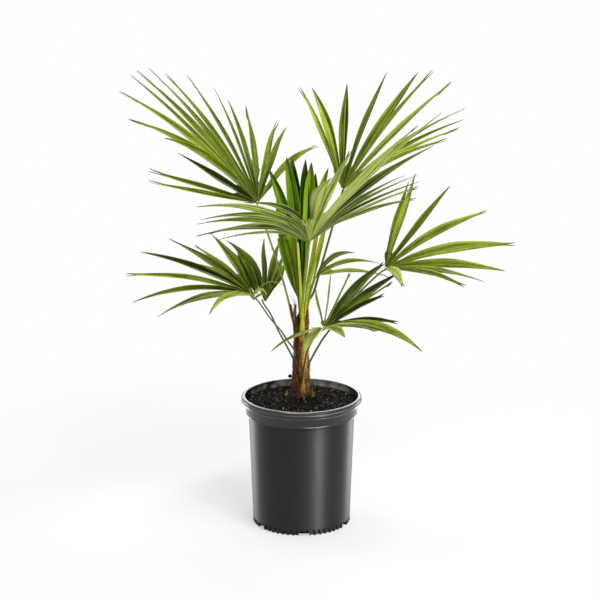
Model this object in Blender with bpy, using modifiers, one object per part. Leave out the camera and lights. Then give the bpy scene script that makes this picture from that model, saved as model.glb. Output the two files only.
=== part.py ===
"""A potted windmill palm: nine pleated fan leaves on a fibrous stem, in a deep nursery pot.

Metres, +Z up. The origin is the centre of the pot's base, on the surface that the pot stands on.
+X is to the plant's right and +Y to its back, seen from the front.
"""

import math
from collections import namedtuple

import bmesh
import bpy
from mathutils import Matrix, Vector

MM = 0.001
GAP = 0.0003  # between pieces that touch

# Pot
LIP_R = 0.1175
POT_HEIGHT = 0.257
LIP_DEPTH = 0.010
COLLAR_TOP_R = 0.1105
COLLAR_FOOT_R = 0.1076
COLLAR_FOOT_Z = 0.2215
BODY_TOP_R = 0.1032
BODY_TOP_Z = 0.2195
BODY_FOOT_R = 0.0956
BODY_FOOT_Z = 0.012
WALL = 0.0020
FLOOR = 0.0025
RECESS = 0.0012
PAD_R = 0.040
FOOT_RING_R = 0.087
POT_STEPS = 60
NOTCH_COUNT = 6
NOTCH_WIDTH = 0.020
NOTCH_HEIGHT = 0.0065
NOTCH_DEPTH = 0.009
NOTCH_TURN = 87.0  # bearing of the first notch, from +X towards -Y

# Soil
SOIL_WALL_Z = 0.239
SOIL_CROWN_Z = 0.2468
SOCKET_R = 0.0190
SOCKET_FLOOR_Z = 0.222

# Stem: its height and its radius there, from the socket up to the crown
STEM_X = -0.001
STEM_Y = 0.035
STEM_PROFILE = (
    (0.2225, 0.0175),
    (0.245, 0.0184),
    (0.270, 0.0182),
    (0.300, 0.0162),
    (0.335, 0.0142),
    (0.370, 0.0136),
    (0.400, 0.0142),
    (0.420, 0.0138),
    (0.428, 0.0120),
)
STEM_STEPS = 20

# Leaves
BLADE_THICK = 0.0007
BLADE_INNER_R = 0.005
FUSED_STATIONS = 3
FREE_STATIONS = 4
PLEAT_SLOPE = 0.75  # a pleat's height over its half width
PETIOLE_BASE_R = 0.0032
PETIOLE_TIP_R = 0.0019
HUB_REACH = 0.007  # how far a petiole runs on under its blade
DOWN = Vector((0, 0, -1))

# A frond's hub is where its segments meet, in mm. bearing is the direction of the blade's middle
# from +X towards +Y, rise its angle above level, roll a turn about that line, and fold how far both
# halves are raised. angles are the segments' places in the fan, in degrees from its middle. Each
# segment has its length in mm, droop (share of its length that its tip falls), lift out of the fan in
# degrees, and sideways sweep. seat is how far under the hub the petiole's middle runs, and route its
# way there from the stem, both in mm.
Frond = namedtuple(
    "Frond",
    "name hub bearing rise roll fold angles half_width split_r segments seat route",
)


def evenly(first, step, count):
    """Angles that stand step degrees apart from first."""
    return tuple(first + step * i for i in range(count))


FRONDS = (
    Frond(
        "upper_left", (-85, 100, 618), 145, 52, -7, 4, evenly(-74, 8.4, 18), 8.0, 62,
        (
            (340, 0.04, -1, -0.08), (310, 0.06, -3, -0.10), (245, 0.04, 3, -0.06),
            (320, 0.20, 9, 0.08), (380, 0.22, 3, 0.08), (400, 0.16, 1, 0.06),
            (380, 0.10, 0, 0.02), (390, 0.14, 0, 0.04), (390, 0.16, 0, 0.06),
            (370, 0.14, -1, 0.04), (355, 0.14, 0, 0.04), (320, 0.14, 2, 0.02),
            (315, 0.16, 0, 0.04), (320, 0.16, 0, 0.06), (210, 0.22, -6, -0.06),
            (340, 0.14, -1, -0.06), (365, 0.06, -6, -0.06), (365, 0.12, 1, -0.10),
        ),
        2.85,
        ((-18, 38, 400), (-21, 41, 414), (-26, 47, 437), (-42, 68, 491), (-63, 89, 550), (-77, 98, 590)),
    ),
    Frond(
        "upper_right", (80, 130, 638), 27, 46, -8, 18, evenly(-60, 11.3, 11), 8.0, 58,
        (
            (330, 0.10, -3, 0.06), (310, 0.22, 9, 0.06), (285, 0.14, 3, -0.02),
            (330, 0.14, -3, -0.02), (345, 0.14, -3, 0.00), (335, 0.12, 3, -0.04),
            (335, 0.14, 1, -0.02), (325, 0.18, -4, -0.02), (315, 0.18, -3, -0.02),
            (315, 0.16, -1, -0.02), (320, 0.14, 3, -0.02),
        ),
        2.55,
        ((7, 42, 431), (22, 55, 446), (38, 85, 493), (55, 115, 546), (70, 128, 597)),
    ),
    Frond(
        "front", (19, -100, 602), 292, 40, -5, 20, evenly(116, -12.3, 19), 8.0, 58,
        (
            (185, 0.14, 11, -0.04), (220, 0.20, 11, -0.08), (200, 0.24, 8, -0.08),
            (240, 0.24, 6, -0.06), (260, 0.28, 4, -0.08), (340, 0.20, -4, -0.08),
            (285, 0.22, -3, -0.14), (100, 0.08, -9, 0.00), (100, 0.20, 0, 0.00),
            (240, 0.20, 10, 0.10), (245, 0.10, 14, -0.04), (370, 0.10, 2, 0.00),
            (380, 0.10, 3, 0.00), (325, 0.20, 3, 0.02), (225, 0.16, 1, 0.00),
            (250, 0.14, 0, 0.00), (260, 0.12, -1, 0.00), (285, 0.10, -1, 0.00),
            (325, 0.10, 0, 0.02),
        ),
        2.05,
        (
            (1, 17.4, 384), (1, 17, 408), (2, 14, 433), (4, -4, 466), (7, -35, 507), (10, -66, 548),
            (14, -92, 580),
        ),
    ),
    Frond(
        "lower_left", (-90, -50, 470), 228, 17, 18, 19, evenly(-23, 13.4, 10), 7.5, 55,
        (
            (285, 0.22, 4, 0.08), (335, 0.20, 1, 0.00), (325, 0.22, 1, 0.06),
            (300, 0.16, -2, 0.02), (265, 0.16, 0, 0.02), (150, 0.14, -1, 0.00),
            (215, 0.16, -1, 0.00), (175, 0.16, -1, 0.00), (180, 0.12, 6, 0.00),
            (200, 0.16, 1, 0.02),
        ),
        2.45,
        ((-14.2, 24.6, 342), (-28, 5, 367), (-39, -12, 390), (-61, -30, 422), (-78, -44, 452)),
    ),
    Frond(
        "rear_left", (-72, 90, 425), 116, 42, -39, 20, evenly(8, 9.2, 5), 7.5, 50,
        (
            (250, 0.24, -8, 0.08), (185, 0.12, 4, -0.04), (200, 0.16, 7, -0.04),
            (180, 0.14, 2, 0.02), (185, 0.06, -5, 0.02),
        ),
        3.20,
        ((-16.9, 43.4, 320), (-35, 59, 351), (-46, 74, 368), (-60, 86, 396)),
    ),
    Frond(
        "right", (162, 50, 498), 325, 15, -30, 34, (-85, *evenly(-66, 16.0, 8)), 8.0, 55,
        (
            (215, 0.12, -10, 0.00), (210, 0.08, 8, 0.06), (225, 0.10, 0, 0.06),
            (265, 0.20, -3, -0.02), (295, 0.20, -5, -0.02), (275, 0.16, -1, -0.02),
            (275, 0.14, -2, 0.00), (330, 0.12, -1, 0.00), (250, 0.16, 3, 0.00),
        ),
        2.70,
        ((17, 34, 316), (34, 36, 348), (50, 38, 372), (106, 46, 444), (148, 50, 486)),
    ),
    Frond(
        "lower_right", (43, -70, 412), 319, 19, -17, 22, evenly(-123, 16.4, 13), 7.5, 45,
        (
            (195, 0.12, -2, -0.06), (180, 0.12, 5, 0.02), (155, 0.10, 1, 0.06),
            (205, 0.12, -3, 0.02), (195, 0.10, -6, 0.06), (165, 0.08, -2, 0.04),
            (150, 0.10, 4, 0.00), (180, 0.20, -1, -0.04), (300, 0.32, 3, -0.04),
            (250, 0.12, 0, 0.00), (290, 0.06, -2, -0.04), (245, 0.16, -2, -0.02),
            (215, 0.20, 3, 0.04),
        ),
        2.50,
        ((1.9, 14.6, 278), (4, -4, 307), (8, -23, 341), (16, -41, 370), (31, -60, 398)),
    ),
    Frond(
        "rear_right", (28, 110, 468), 49, 4, -22, 14, evenly(-20, 13.5, 3), 6.5, 45,
        (
            (215, 0.22, -2, -0.10), (225, 0.22, 0, -0.10), (205, 0.22, 0, -0.02),
        ),
        2.60,
        ((9, 49, 418), (12, 55, 432), (17, 75, 446), (23, 98, 458)),
    ),
    Frond(
        "young", (3, 36, 424.6), 90, 85, 0, 0, (-12, -13, -6, -4, 1, 3, 5, 10), 7.5, 120,
        (
            (240, 0.02, -2, -0.32), (285, 0.02, 3, 0.06), (300, 0.02, 0, 0.00),
            (298, 0.02, -2, 0.00), (295, 0.02, 0, 0.00), (290, 0.02, 1, 0.02),
            (268, 0.02, -1, 0.04), (282, 0.02, 0, -0.16),
        ),
        0,
        (),
    ),
)

# Old leaf bases left round the stem: bearing, foot height, top height, half width in degrees, and how
# far the top stands off the stem
LEAF_BASES = (
    ("leaf_base_left", 214, 0.376, 0.438, 22, 0.0050),
    ("leaf_base_right", 322, 0.350, 0.434, 26, 0.0030),
    ("leaf_base_rear", 105, 0.300, 0.400, 30, 0.0040),
    ("leaf_base_foot", 226, 0.258, 0.322, 26, 0.0030),
)
LEAF_BASE_THICK = 0.0018
LEAF_BASE_ROWS = 7
LEAF_BASE_COLUMNS = 5

# Small shoots in the soil: foot, tip's offset from it, and radius at the foot
SHOOTS = (
    ("shoot_green", (0.0235, 0.0180), (-0.0020, 0.0020, 0.0215), 0.0014),
    ("shoot_pale", (-0.0310, 0.0250), (0.0035, 0.0000, 0.0125), 0.0017),
)

COLOURS = {
    "pot": ((0.028, 0.028, 0.031), 0.34),
    "soil": ((0.030, 0.020, 0.014), 0.95),
    "stem": ((0.085, 0.040, 0.018), 0.90),
    "leaf_base": ((0.190, 0.100, 0.040), 0.85),
    "petiole": ((0.150, 0.210, 0.050), 0.50),
    "blade": ((0.100, 0.190, 0.022), 0.48),
    "shoot": ((0.330, 0.380, 0.140), 0.55),
}


def clear_scene():
    """Remove every object that the file holds."""
    for old in list(bpy.data.objects):
        bpy.data.objects.remove(old, do_unlink=True)


def new_collection(name):
    """A collection linked to the scene."""
    collection = bpy.data.collections.new(name)
    bpy.context.scene.collection.children.link(collection)
    return collection


def material(name):
    """The Principled material of one finish, made once."""
    if name in bpy.data.materials:
        return bpy.data.materials[name]
    colour, roughness = COLOURS[name]
    made = bpy.data.materials.new(name)
    made.use_nodes = True
    shader = made.node_tree.nodes["Principled BSDF"]
    shader.inputs["Base Color"].default_value = (*colour, 1.0)
    shader.inputs["Roughness"].default_value = roughness
    shader.inputs["Metallic"].default_value = 0.0
    return made


def add_object(name, data, finish, collection):
    """Link an object for this mesh or curve, with its finish."""
    made = bpy.data.objects.new(name, data)
    collection.objects.link(made)
    if finish:
        data.materials.append(material(finish))
    return made


def mesh_from(name, vertices, faces):
    """A mesh from computed points and faces."""
    mesh = bpy.data.meshes.new(name)
    mesh.from_pydata([tuple(v) for v in vertices], [], faces)
    mesh.update()
    return mesh


def smooth(obj, sharp_degrees):
    """Shade a round piece smooth, with its true edges sharp."""
    obj.data.shade_smooth()
    obj.data.set_sharp_from_angle(angle=math.radians(sharp_degrees))


def turned(name, profile, steps, finish, collection):
    """A turned solid: the profile of (radius, height) starts and ends on the axis."""
    edges = [(i, i + 1) for i in range(len(profile) - 1)]
    mesh = bpy.data.meshes.new(name)
    mesh.from_pydata([(r, 0.0, z) for r, z in profile], edges, [])
    obj = add_object(name, mesh, finish, collection)
    screw = obj.modifiers.new("turn", "SCREW")
    screw.steps = steps
    screw.render_steps = steps
    screw.use_merge_vertices = True
    screw.merge_threshold = 0.00002
    screw.use_smooth_shade = True
    return obj


def cut(obj, cutter):
    """Take the cutter out of the object."""
    difference = obj.modifiers.new("cut " + cutter.name, "BOOLEAN")
    difference.operation = "DIFFERENCE"
    difference.solver = "EXACT"
    difference.object = cutter
    cutter.hide_render = True
    cutter.display_type = "WIRE"


def interpolate(table, x):
    """The value at x of a line through (x, value) points."""
    if x <= table[0][0]:
        return table[0][1]
    for (x0, v0), (x1, v1) in zip(table, table[1:]):
        if x <= x1:
            return v0 + (v1 - v0) * (x - x0) / (x1 - x0)
    return table[-1][1]


def inner_radius(z):
    """The radius of the pot's inner wall at this height."""
    outer = (
        (BODY_FOOT_Z, BODY_FOOT_R),
        (BODY_TOP_Z, BODY_TOP_R),
        (COLLAR_FOOT_Z, COLLAR_FOOT_R),
        (POT_HEIGHT - LIP_DEPTH, COLLAR_TOP_R + 0.0012),
    )
    return interpolate(outer, z) - WALL


def make_pot(parts, cutters):
    """The pot: one shell with a rolled lip, a stepped collar and drain notches round its foot."""
    lip_foot = POT_HEIGHT - LIP_DEPTH
    step_z = lip_foot - 0.007
    profile = [
        (0.0, FLOOR),
        (BODY_FOOT_R - WALL - 0.0010, FLOOR),
        (inner_radius(BODY_FOOT_Z), BODY_FOOT_Z),
        (inner_radius(BODY_TOP_Z), BODY_TOP_Z),
        (inner_radius(COLLAR_FOOT_Z), COLLAR_FOOT_Z),
        (inner_radius(lip_foot), lip_foot),
        (LIP_R - 0.0060, POT_HEIGHT - 0.0008),
        (LIP_R - 0.0050, POT_HEIGHT),
        (LIP_R - 0.0030, POT_HEIGHT),
        (LIP_R - 0.0008, POT_HEIGHT - 0.0012),
        (LIP_R, POT_HEIGHT - 0.0035),
        (LIP_R, lip_foot + 0.0025),
        (LIP_R - 0.0012, lip_foot),
        (COLLAR_TOP_R + 0.0012, lip_foot),
        (COLLAR_TOP_R + 0.0006, step_z),
        (COLLAR_TOP_R, step_z - 0.0010),
        (COLLAR_FOOT_R, COLLAR_FOOT_Z),
        (BODY_TOP_R, BODY_TOP_Z),
        (BODY_FOOT_R, BODY_FOOT_Z),
        (BODY_FOOT_R - 0.0006, 0.0010),
        (BODY_FOOT_R - 0.0016, 0.0),
        (FOOT_RING_R, 0.0),
        (FOOT_RING_R - RECESS, RECESS),
        (PAD_R + RECESS, RECESS),
        (PAD_R, 0.0),
        (0.0, 0.0),
    ]
    pot = turned("pot", profile, POT_STEPS, "pot", parts)
    depth = NOTCH_DEPTH + 0.005
    for i in range(NOTCH_COUNT):
        bearing = -math.radians(NOTCH_TURN + i * 360.0 / NOTCH_COUNT)
        middle = BODY_FOOT_R - NOTCH_DEPTH + depth / 2
        mesh = bpy.data.meshes.new("notch")
        build = bmesh.new()
        bmesh.ops.create_cube(build, size=1.0)
        build.to_mesh(mesh)
        build.free()
        mesh.transform(Matrix.Diagonal((depth, NOTCH_WIDTH, 2 * NOTCH_HEIGHT, 1.0)))
        notch = add_object(f"notch_cutter_{i}", mesh, None, cutters)
        notch.location = (middle * math.cos(bearing), middle * math.sin(bearing), 0.0)
        notch.rotation_euler = (0.0, 0.0, bearing)
        cut(pot, notch)


def make_soil(parts, cutters):
    """The soil: it fills the pot to below the collar's top, with a low mound round the stem."""
    clear = GAP + 0.0002
    profile = [
        (0.0, SOIL_CROWN_Z),
        (0.030, SOIL_CROWN_Z - 0.0004),
        (0.060, SOIL_CROWN_Z - 0.0030),
        (0.090, SOIL_CROWN_Z - 0.0066),
        (inner_radius(SOIL_WALL_Z) - clear, SOIL_WALL_Z),
        (inner_radius(COLLAR_FOOT_Z) - clear, COLLAR_FOOT_Z + 0.0008),
        (inner_radius(BODY_TOP_Z) - clear, BODY_TOP_Z + 0.0004),
        (inner_radius(BODY_FOOT_Z) - clear, BODY_FOOT_Z),
        (BODY_FOOT_R - WALL - 0.0010 - clear, FLOOR + GAP),
        (0.0, FLOOR + GAP),
    ]
    soil = turned("soil", profile, POT_STEPS, "soil", parts)
    mesh = bpy.data.meshes.new("socket")
    build = bmesh.new()
    height = 0.060
    bmesh.ops.create_cone(
        build, cap_ends=True, segments=STEM_STEPS, radius1=SOCKET_R, radius2=SOCKET_R, depth=height
    )
    build.to_mesh(mesh)
    build.free()
    socket = add_object("socket_cutter", mesh, None, cutters)
    socket.location = (STEM_X, STEM_Y, SOCKET_FLOOR_Z + height / 2)
    cut(soil, socket)


def make_stem(parts):
    """The stem: a turned body whose foot stands in the soil."""
    profile = [(0.0, STEM_PROFILE[-1][0])]
    profile += [(r, z) for z, r in reversed(STEM_PROFILE)]
    profile.append((0.0, STEM_PROFILE[0][0]))
    stem = turned("stem", profile, STEM_STEPS, "stem", parts)
    stem.location = (STEM_X, STEM_Y, 0.0)


def grid_faces(rows, columns):
    """The quads of a grid of points, row after row."""
    faces = []
    for row in range(rows - 1):
        for column in range(columns - 1):
            first = row * columns + column
            faces.append((first, first + 1, first + columns + 1, first + columns))
    return faces


def thicken(obj, thickness):
    """Give an open surface its thickness, half to each side."""
    solid = obj.modifiers.new("thickness", "SOLIDIFY")
    solid.thickness = thickness
    solid.offset = 0.0
    solid.use_even_offset = False


def make_leaf_base(name, bearing, foot_z, top_z, half_width, flare, parts):
    """One old leaf base: a strap that hugs the stem, narrows upwards and stands off at its top."""
    vertices = []
    for row in range(LEAF_BASE_ROWS):
        up = row / (LEAF_BASE_ROWS - 1)
        z = foot_z + (top_z - foot_z) * up
        radius = interpolate(STEM_PROFILE, z) + GAP + LEAF_BASE_THICK / 2 + flare * up * up
        width = half_width * (1.0 - 0.55 * up)
        for column in range(LEAF_BASE_COLUMNS):
            side = 2.0 * column / (LEAF_BASE_COLUMNS - 1) - 1.0
            angle = math.radians(bearing + side * width)
            x = STEM_X + radius * math.cos(angle)
            y = STEM_Y + radius * math.sin(angle)
            vertices.append((x, y, z))
    mesh = mesh_from(name, vertices, grid_faces(LEAF_BASE_ROWS, LEAF_BASE_COLUMNS))
    strap = add_object(name, mesh, "leaf_base", parts)
    thicken(strap, LEAF_BASE_THICK)
    smooth(strap, 50.0)


def spline_points(route, count):
    """Points along a smooth curve through the route's own points."""
    ends = [2 * route[0] - route[1], *route, 2 * route[-1] - route[-2]]
    points = []
    for i in range(count):
        place = i * (len(route) - 1) / (count - 1)
        k = min(int(place), len(route) - 2)
        t = place - k
        p0, p1, p2, p3 = ends[k : k + 4]
        curved = 2 * p1 + (p2 - p0) * t + (2 * p0 - 5 * p1 + 4 * p2 - p3) * t * t
        points.append((curved + (3 * p1 - p0 - 3 * p2 + p3) * t * t * t) / 2)
    return points


def make_rod(name, points, radii, finish, parts):
    """A round rod along these points, with its own radius at each."""
    curve = bpy.data.curves.new(name, "CURVE")
    curve.dimensions = "3D"
    curve.bevel_depth = 1.0
    curve.bevel_resolution = 2
    curve.use_fill_caps = True
    spline = curve.splines.new("POLY")
    spline.points.add(len(points) - 1)
    spline.use_smooth = True
    for place, point, radius in zip(spline.points, points, radii):
        place.co = (*point, 1.0)
        place.radius = radius
    return add_object(name, curve, finish, parts)


def fan_axes(frond):
    """The fan's own axes: along its middle, to its side, and out of its upper face."""
    bearing = math.radians(frond.bearing)
    rise = math.radians(frond.rise)
    roll = math.radians(frond.roll)
    level = Vector((math.cos(bearing), math.sin(bearing), 0.0))
    along = level * math.cos(rise) - DOWN * math.sin(rise)
    flat = along.cross(-DOWN).normalized()
    above = flat.cross(along)
    side = flat * math.cos(roll) + above * math.sin(roll)
    face = above * math.cos(roll) - flat * math.sin(roll)
    return along, side, face


def segment_direction(axes, angle, fold, lift):
    """The way a segment leaves the hub."""
    along, side, face = axes
    angle = math.radians(angle)
    fold = math.radians(fold)
    lift = math.radians(lift)
    raised = side * math.cos(fold) + face * math.copysign(math.sin(fold), angle)
    level = along * math.cos(angle) + raised * math.sin(angle)
    return (level * math.cos(lift) + face * math.sin(lift)).normalized()


class Segment:
    """One segment's midrib: a line that leaves the hub, sweeps sideways and droops."""

    def __init__(self, frond, index):
        length, self.droop, lift, self.sweep = frond.segments[index]
        axes = fan_axes(frond)
        angle = frond.angles[index]
        self.length = length * MM
        self.face = axes[2]
        self.hub = Vector(frond.hub) * MM
        self.leave = segment_direction(axes, angle, frond.fold, lift)
        ahead = segment_direction(axes, angle + 1.0, frond.fold, lift)
        self.beside = (ahead - self.leave).normalized()

    def point(self, radius):
        """The midrib at this distance from the hub."""
        t = radius / self.length
        bow = self.leave * t + DOWN * (self.droop * t * t) + self.beside * (self.sweep * t * (1 - t))
        return self.hub + bow * self.length

    def frame(self, radius):
        """Across and up, square to the midrib."""
        t = radius / self.length
        ahead = self.leave + DOWN * (2 * self.droop * t) + self.beside * (self.sweep * (1 - 2 * t))
        ahead.normalize()
        across = (self.beside - ahead * self.beside.dot(ahead)).normalized()
        up = across.cross(ahead).normalized()
        if up.dot(self.face) < 0:
            up = -up
        return across, up


def taper(t):
    """A free segment's width along its length, as a share of its widest."""
    if t < 0.45:
        return 0.80 + 0.20 * t / 0.45
    return max(1.0 - ((t - 0.45) / 0.55) ** 1.6, 0.045)


def free_half_width(segments, index, radius, half_width):
    """Half a free segment's span: its own taper, kept clear of both neighbours."""
    segment = segments[index]
    span = half_width * taper(radius / segment.length)
    for other in (index - 1, index + 1):
        if 0 <= other < len(segments) and radius < segments[other].length:
            room = (segment.point(radius) - segments[other].point(radius)).length / 2
            span = min(span, room * 0.86)
    return span


def fused_rise(radius):
    """How far a fold stands off the sheet's middle, over its half width: none beside the hub."""
    return PLEAT_SLOPE / 2 * min(1.0, (radius - BLADE_INNER_R) / 0.020)


def ridge_point(segments, index, radius):
    """The fold shared by segments index - 1 and index, or the outer edge beside the last one."""
    rise = fused_rise(radius)
    near = segments[max(index - 1, 0)]
    far = segments[min(index, len(segments) - 1)]
    if near is not far:
        half = (near.point(radius) - far.point(radius)).length / 2
        up = (near.frame(radius)[1] + far.frame(radius)[1]).normalized()
        return (near.point(radius) + far.point(radius)) / 2 + up * half * rise
    inner = segments[1] if index == 0 else segments[-2]
    outward = near.point(radius) - inner.point(radius)
    across, up = near.frame(radius)
    if across.dot(outward) < 0:
        across = -across
    half = outward.length / 2
    return near.point(radius) + across * half + up * half * rise


def valley_point(segments, index, radius):
    """The fold along a segment's midrib where it is still joined to its neighbours."""
    middle = segments[index].point(radius)
    near = [segments[k].point(radius) for k in (index - 1, index + 1) if 0 <= k < len(segments)]
    half = sum((middle - other).length for other in near) / len(near) / 2
    return middle - segments[index].frame(radius)[1] * half * fused_rise(radius)


def blade_surface(frond):
    """The pleated sheet: midribs in the valleys, and ridges shared up to where segments part."""
    segments = [Segment(frond, i) for i in range(len(frond.segments))]
    count = len(segments)
    vertices = []
    faces = []

    def add(point):
        vertices.append(point)
        return len(vertices) - 1

    splits = []
    ridges = []
    for i in range(count + 1):
        shortest = min(segments[k].length for k in (i - 1, i) if 0 <= k < count)
        split = min(frond.split_r * MM, 0.6 * shortest)
        reach = split - BLADE_INNER_R
        radii = [BLADE_INNER_R + reach * k / FUSED_STATIONS for k in range(FUSED_STATIONS + 1)]
        ridges.append([add(ridge_point(segments, i, radius)) for radius in radii])
        splits.append(split)
    for i, segment in enumerate(segments):
        split = (splits[i] + splits[i + 1]) / 2
        reach = split - BLADE_INNER_R
        radii = [BLADE_INNER_R + reach * k / FUSED_STATIONS for k in range(FUSED_STATIONS + 1)]
        valley = [add(valley_point(segments, i, radius)) for radius in radii]
        low = list(ridges[i])
        high = list(ridges[i + 1])
        over = vertices[high[-1]] - vertices[low[-1]]
        for station in range(1, FREE_STATIONS + 1):
            radius = split + (segment.length - split) * station / FREE_STATIONS
            half = free_half_width(segments, i, radius, frond.half_width * MM)
            across, up = segment.frame(radius)
            if across.dot(over) < 0:
                across = -across
            middle = segment.point(radius)
            crease = up * half * PLEAT_SLOPE / 2
            valley.append(add(middle - crease))
            low.append(add(middle - across * half + crease))
            high.append(add(middle + across * half + crease))
        for station in range(FUSED_STATIONS + FREE_STATIONS):
            after = station + 1
            faces.append((low[station], valley[station], valley[after], low[after]))
            faces.append((valley[station], high[station], high[after], valley[after]))
    return vertices, faces


def make_frond(frond, parts):
    """A blade and, where the leaf has opened, the petiole that carries it."""
    name = "blade_" + frond.name
    vertices, faces = blade_surface(frond)
    blade = add_object(name, mesh_from(name, vertices, faces), "blade", parts)
    thicken(blade, BLADE_THICK)
    smooth(blade, 25.0)
    if not frond.route:
        return
    along, _, face = fan_axes(frond)
    under = (Vector(frond.hub) - face * frond.seat) * MM
    route = [Vector(place) * MM for place in frond.route]
    points = spline_points([*route, under - along * 0.001], 14)
    points.append(under + along * HUB_REACH)
    fall = (PETIOLE_TIP_R - PETIOLE_BASE_R) / (len(points) - 1)
    radii = [PETIOLE_BASE_R + fall * i for i in range(len(points))]
    make_rod("petiole_" + frond.name, points, radii, "petiole", parts)


def soil_height(reach):
    """The soil's height at this distance from the pot's axis."""
    crown = ((0.0, 0.0), (0.030, -0.0004), (0.060, -0.0030), (0.090, -0.0066))
    return SOIL_CROWN_Z + interpolate(crown, reach)


def make_shoot(name, foot, rise, radius, parts):
    """A small shoot that stands on the soil."""
    lean = math.hypot(rise[0], rise[1]) / Vector(rise).length
    start = Vector((*foot, soil_height(math.hypot(*foot)) + GAP + radius * lean))
    tip = start + Vector(rise)
    points = [start.lerp(tip, i / 4) for i in range(5)]
    radii = [radius * (1.0 - 0.18 * i) for i in range(5)]
    make_rod(name, points, radii, "shoot", parts)


def main():
    """Build every piece in place."""
    clear_scene()
    parts = new_collection("potted_windmill_palm")
    cutters = new_collection("cutters")
    make_pot(parts, cutters)
    make_soil(parts, cutters)
    make_stem(parts)
    for leaf_base in LEAF_BASES:
        make_leaf_base(*leaf_base, parts)
    for frond in FRONDS:
        make_frond(frond, parts)
    for shoot in SHOOTS:
        make_shoot(*shoot, parts)


main()
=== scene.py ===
"""A potted windmill palm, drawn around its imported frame.

Metres, +Z up. The origin is the centre of the pot's base; +X is to the plant's right and +Y to its
back. Every leaf repeats the shape of its own CAD blade with finer pleats, veins, tips and colours.
"""

import logging
import math
import random
from dataclasses import dataclass, field
from enum import Enum
from typing import Callable, Iterable, Sequence

import bmesh
import bpy
from mathutils import Matrix, Vector, noise


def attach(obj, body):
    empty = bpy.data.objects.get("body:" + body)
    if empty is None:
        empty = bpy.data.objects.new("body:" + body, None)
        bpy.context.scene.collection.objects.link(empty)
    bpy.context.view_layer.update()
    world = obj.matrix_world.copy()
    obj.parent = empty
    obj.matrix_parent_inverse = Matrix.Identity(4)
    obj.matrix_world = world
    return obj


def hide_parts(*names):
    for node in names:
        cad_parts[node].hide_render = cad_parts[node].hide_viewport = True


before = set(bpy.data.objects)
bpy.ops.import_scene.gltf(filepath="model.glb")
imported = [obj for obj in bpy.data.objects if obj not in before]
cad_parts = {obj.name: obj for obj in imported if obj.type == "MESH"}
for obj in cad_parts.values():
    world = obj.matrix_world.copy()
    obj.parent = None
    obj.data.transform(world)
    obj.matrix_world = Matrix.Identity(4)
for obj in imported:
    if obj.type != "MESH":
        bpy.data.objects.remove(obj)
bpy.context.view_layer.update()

LOG = logging.getLogger("palm")
MM = 0.001
BODY = "root"
UP = Vector((0.0, 0.0, 1.0))

Material = bpy.types.Material
Piece = bpy.types.Object
Colour = tuple[float, float, float]
Tones = tuple[Colour, ...]
Point2 = tuple[float, float]
Point3 = tuple[float, float, float]


class Slot(Enum):
    """The record's material slots."""

    POT = "pot_plastic"
    SOIL = "potting_mix"
    STEM = "stem_fibre"
    LEAF_BASE = "leaf_base_fibre"
    STALK = "petiole_green"
    LEAF = "leaf_green"
    SHOOT = "shoot_green"


# -------- node graphs


@dataclass(frozen=True)
class Value:
    """A node's output with the usual arithmetic, each step of which adds a node."""

    graph: "Graph"
    socket: bpy.types.NodeSocket

    def __add__(self, other: object) -> "Value":
        """This and the other together."""
        return self.graph.math("ADD", self, other)

    def __sub__(self, other: object) -> "Value":
        """This less the other."""
        return self.graph.math("SUBTRACT", self, other)

    def __rsub__(self, other: float) -> "Value":
        """The other less this."""
        return self.graph.math("SUBTRACT", other, self)

    def __mul__(self, other: object) -> "Value":
        """This times the other."""
        return self.graph.math("MULTIPLY", self, other)

    def __abs__(self) -> "Value":
        """This without its sign."""
        return self.graph.math("ABSOLUTE", self)

    def kept(self) -> "Value":
        """The same output, kept within 0 to 1 by its node."""
        self.socket.node.use_clamp = True
        return self

    def spread(self, low: float, high: float, to_low: float = 0.0, to_high: float = 1.0) -> "Value":
        """This mapped from low and high to to_low and to_high, and kept between them."""
        return self.graph.value("ShaderNodeMapRange", self, low, high, to_low, to_high)


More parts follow.
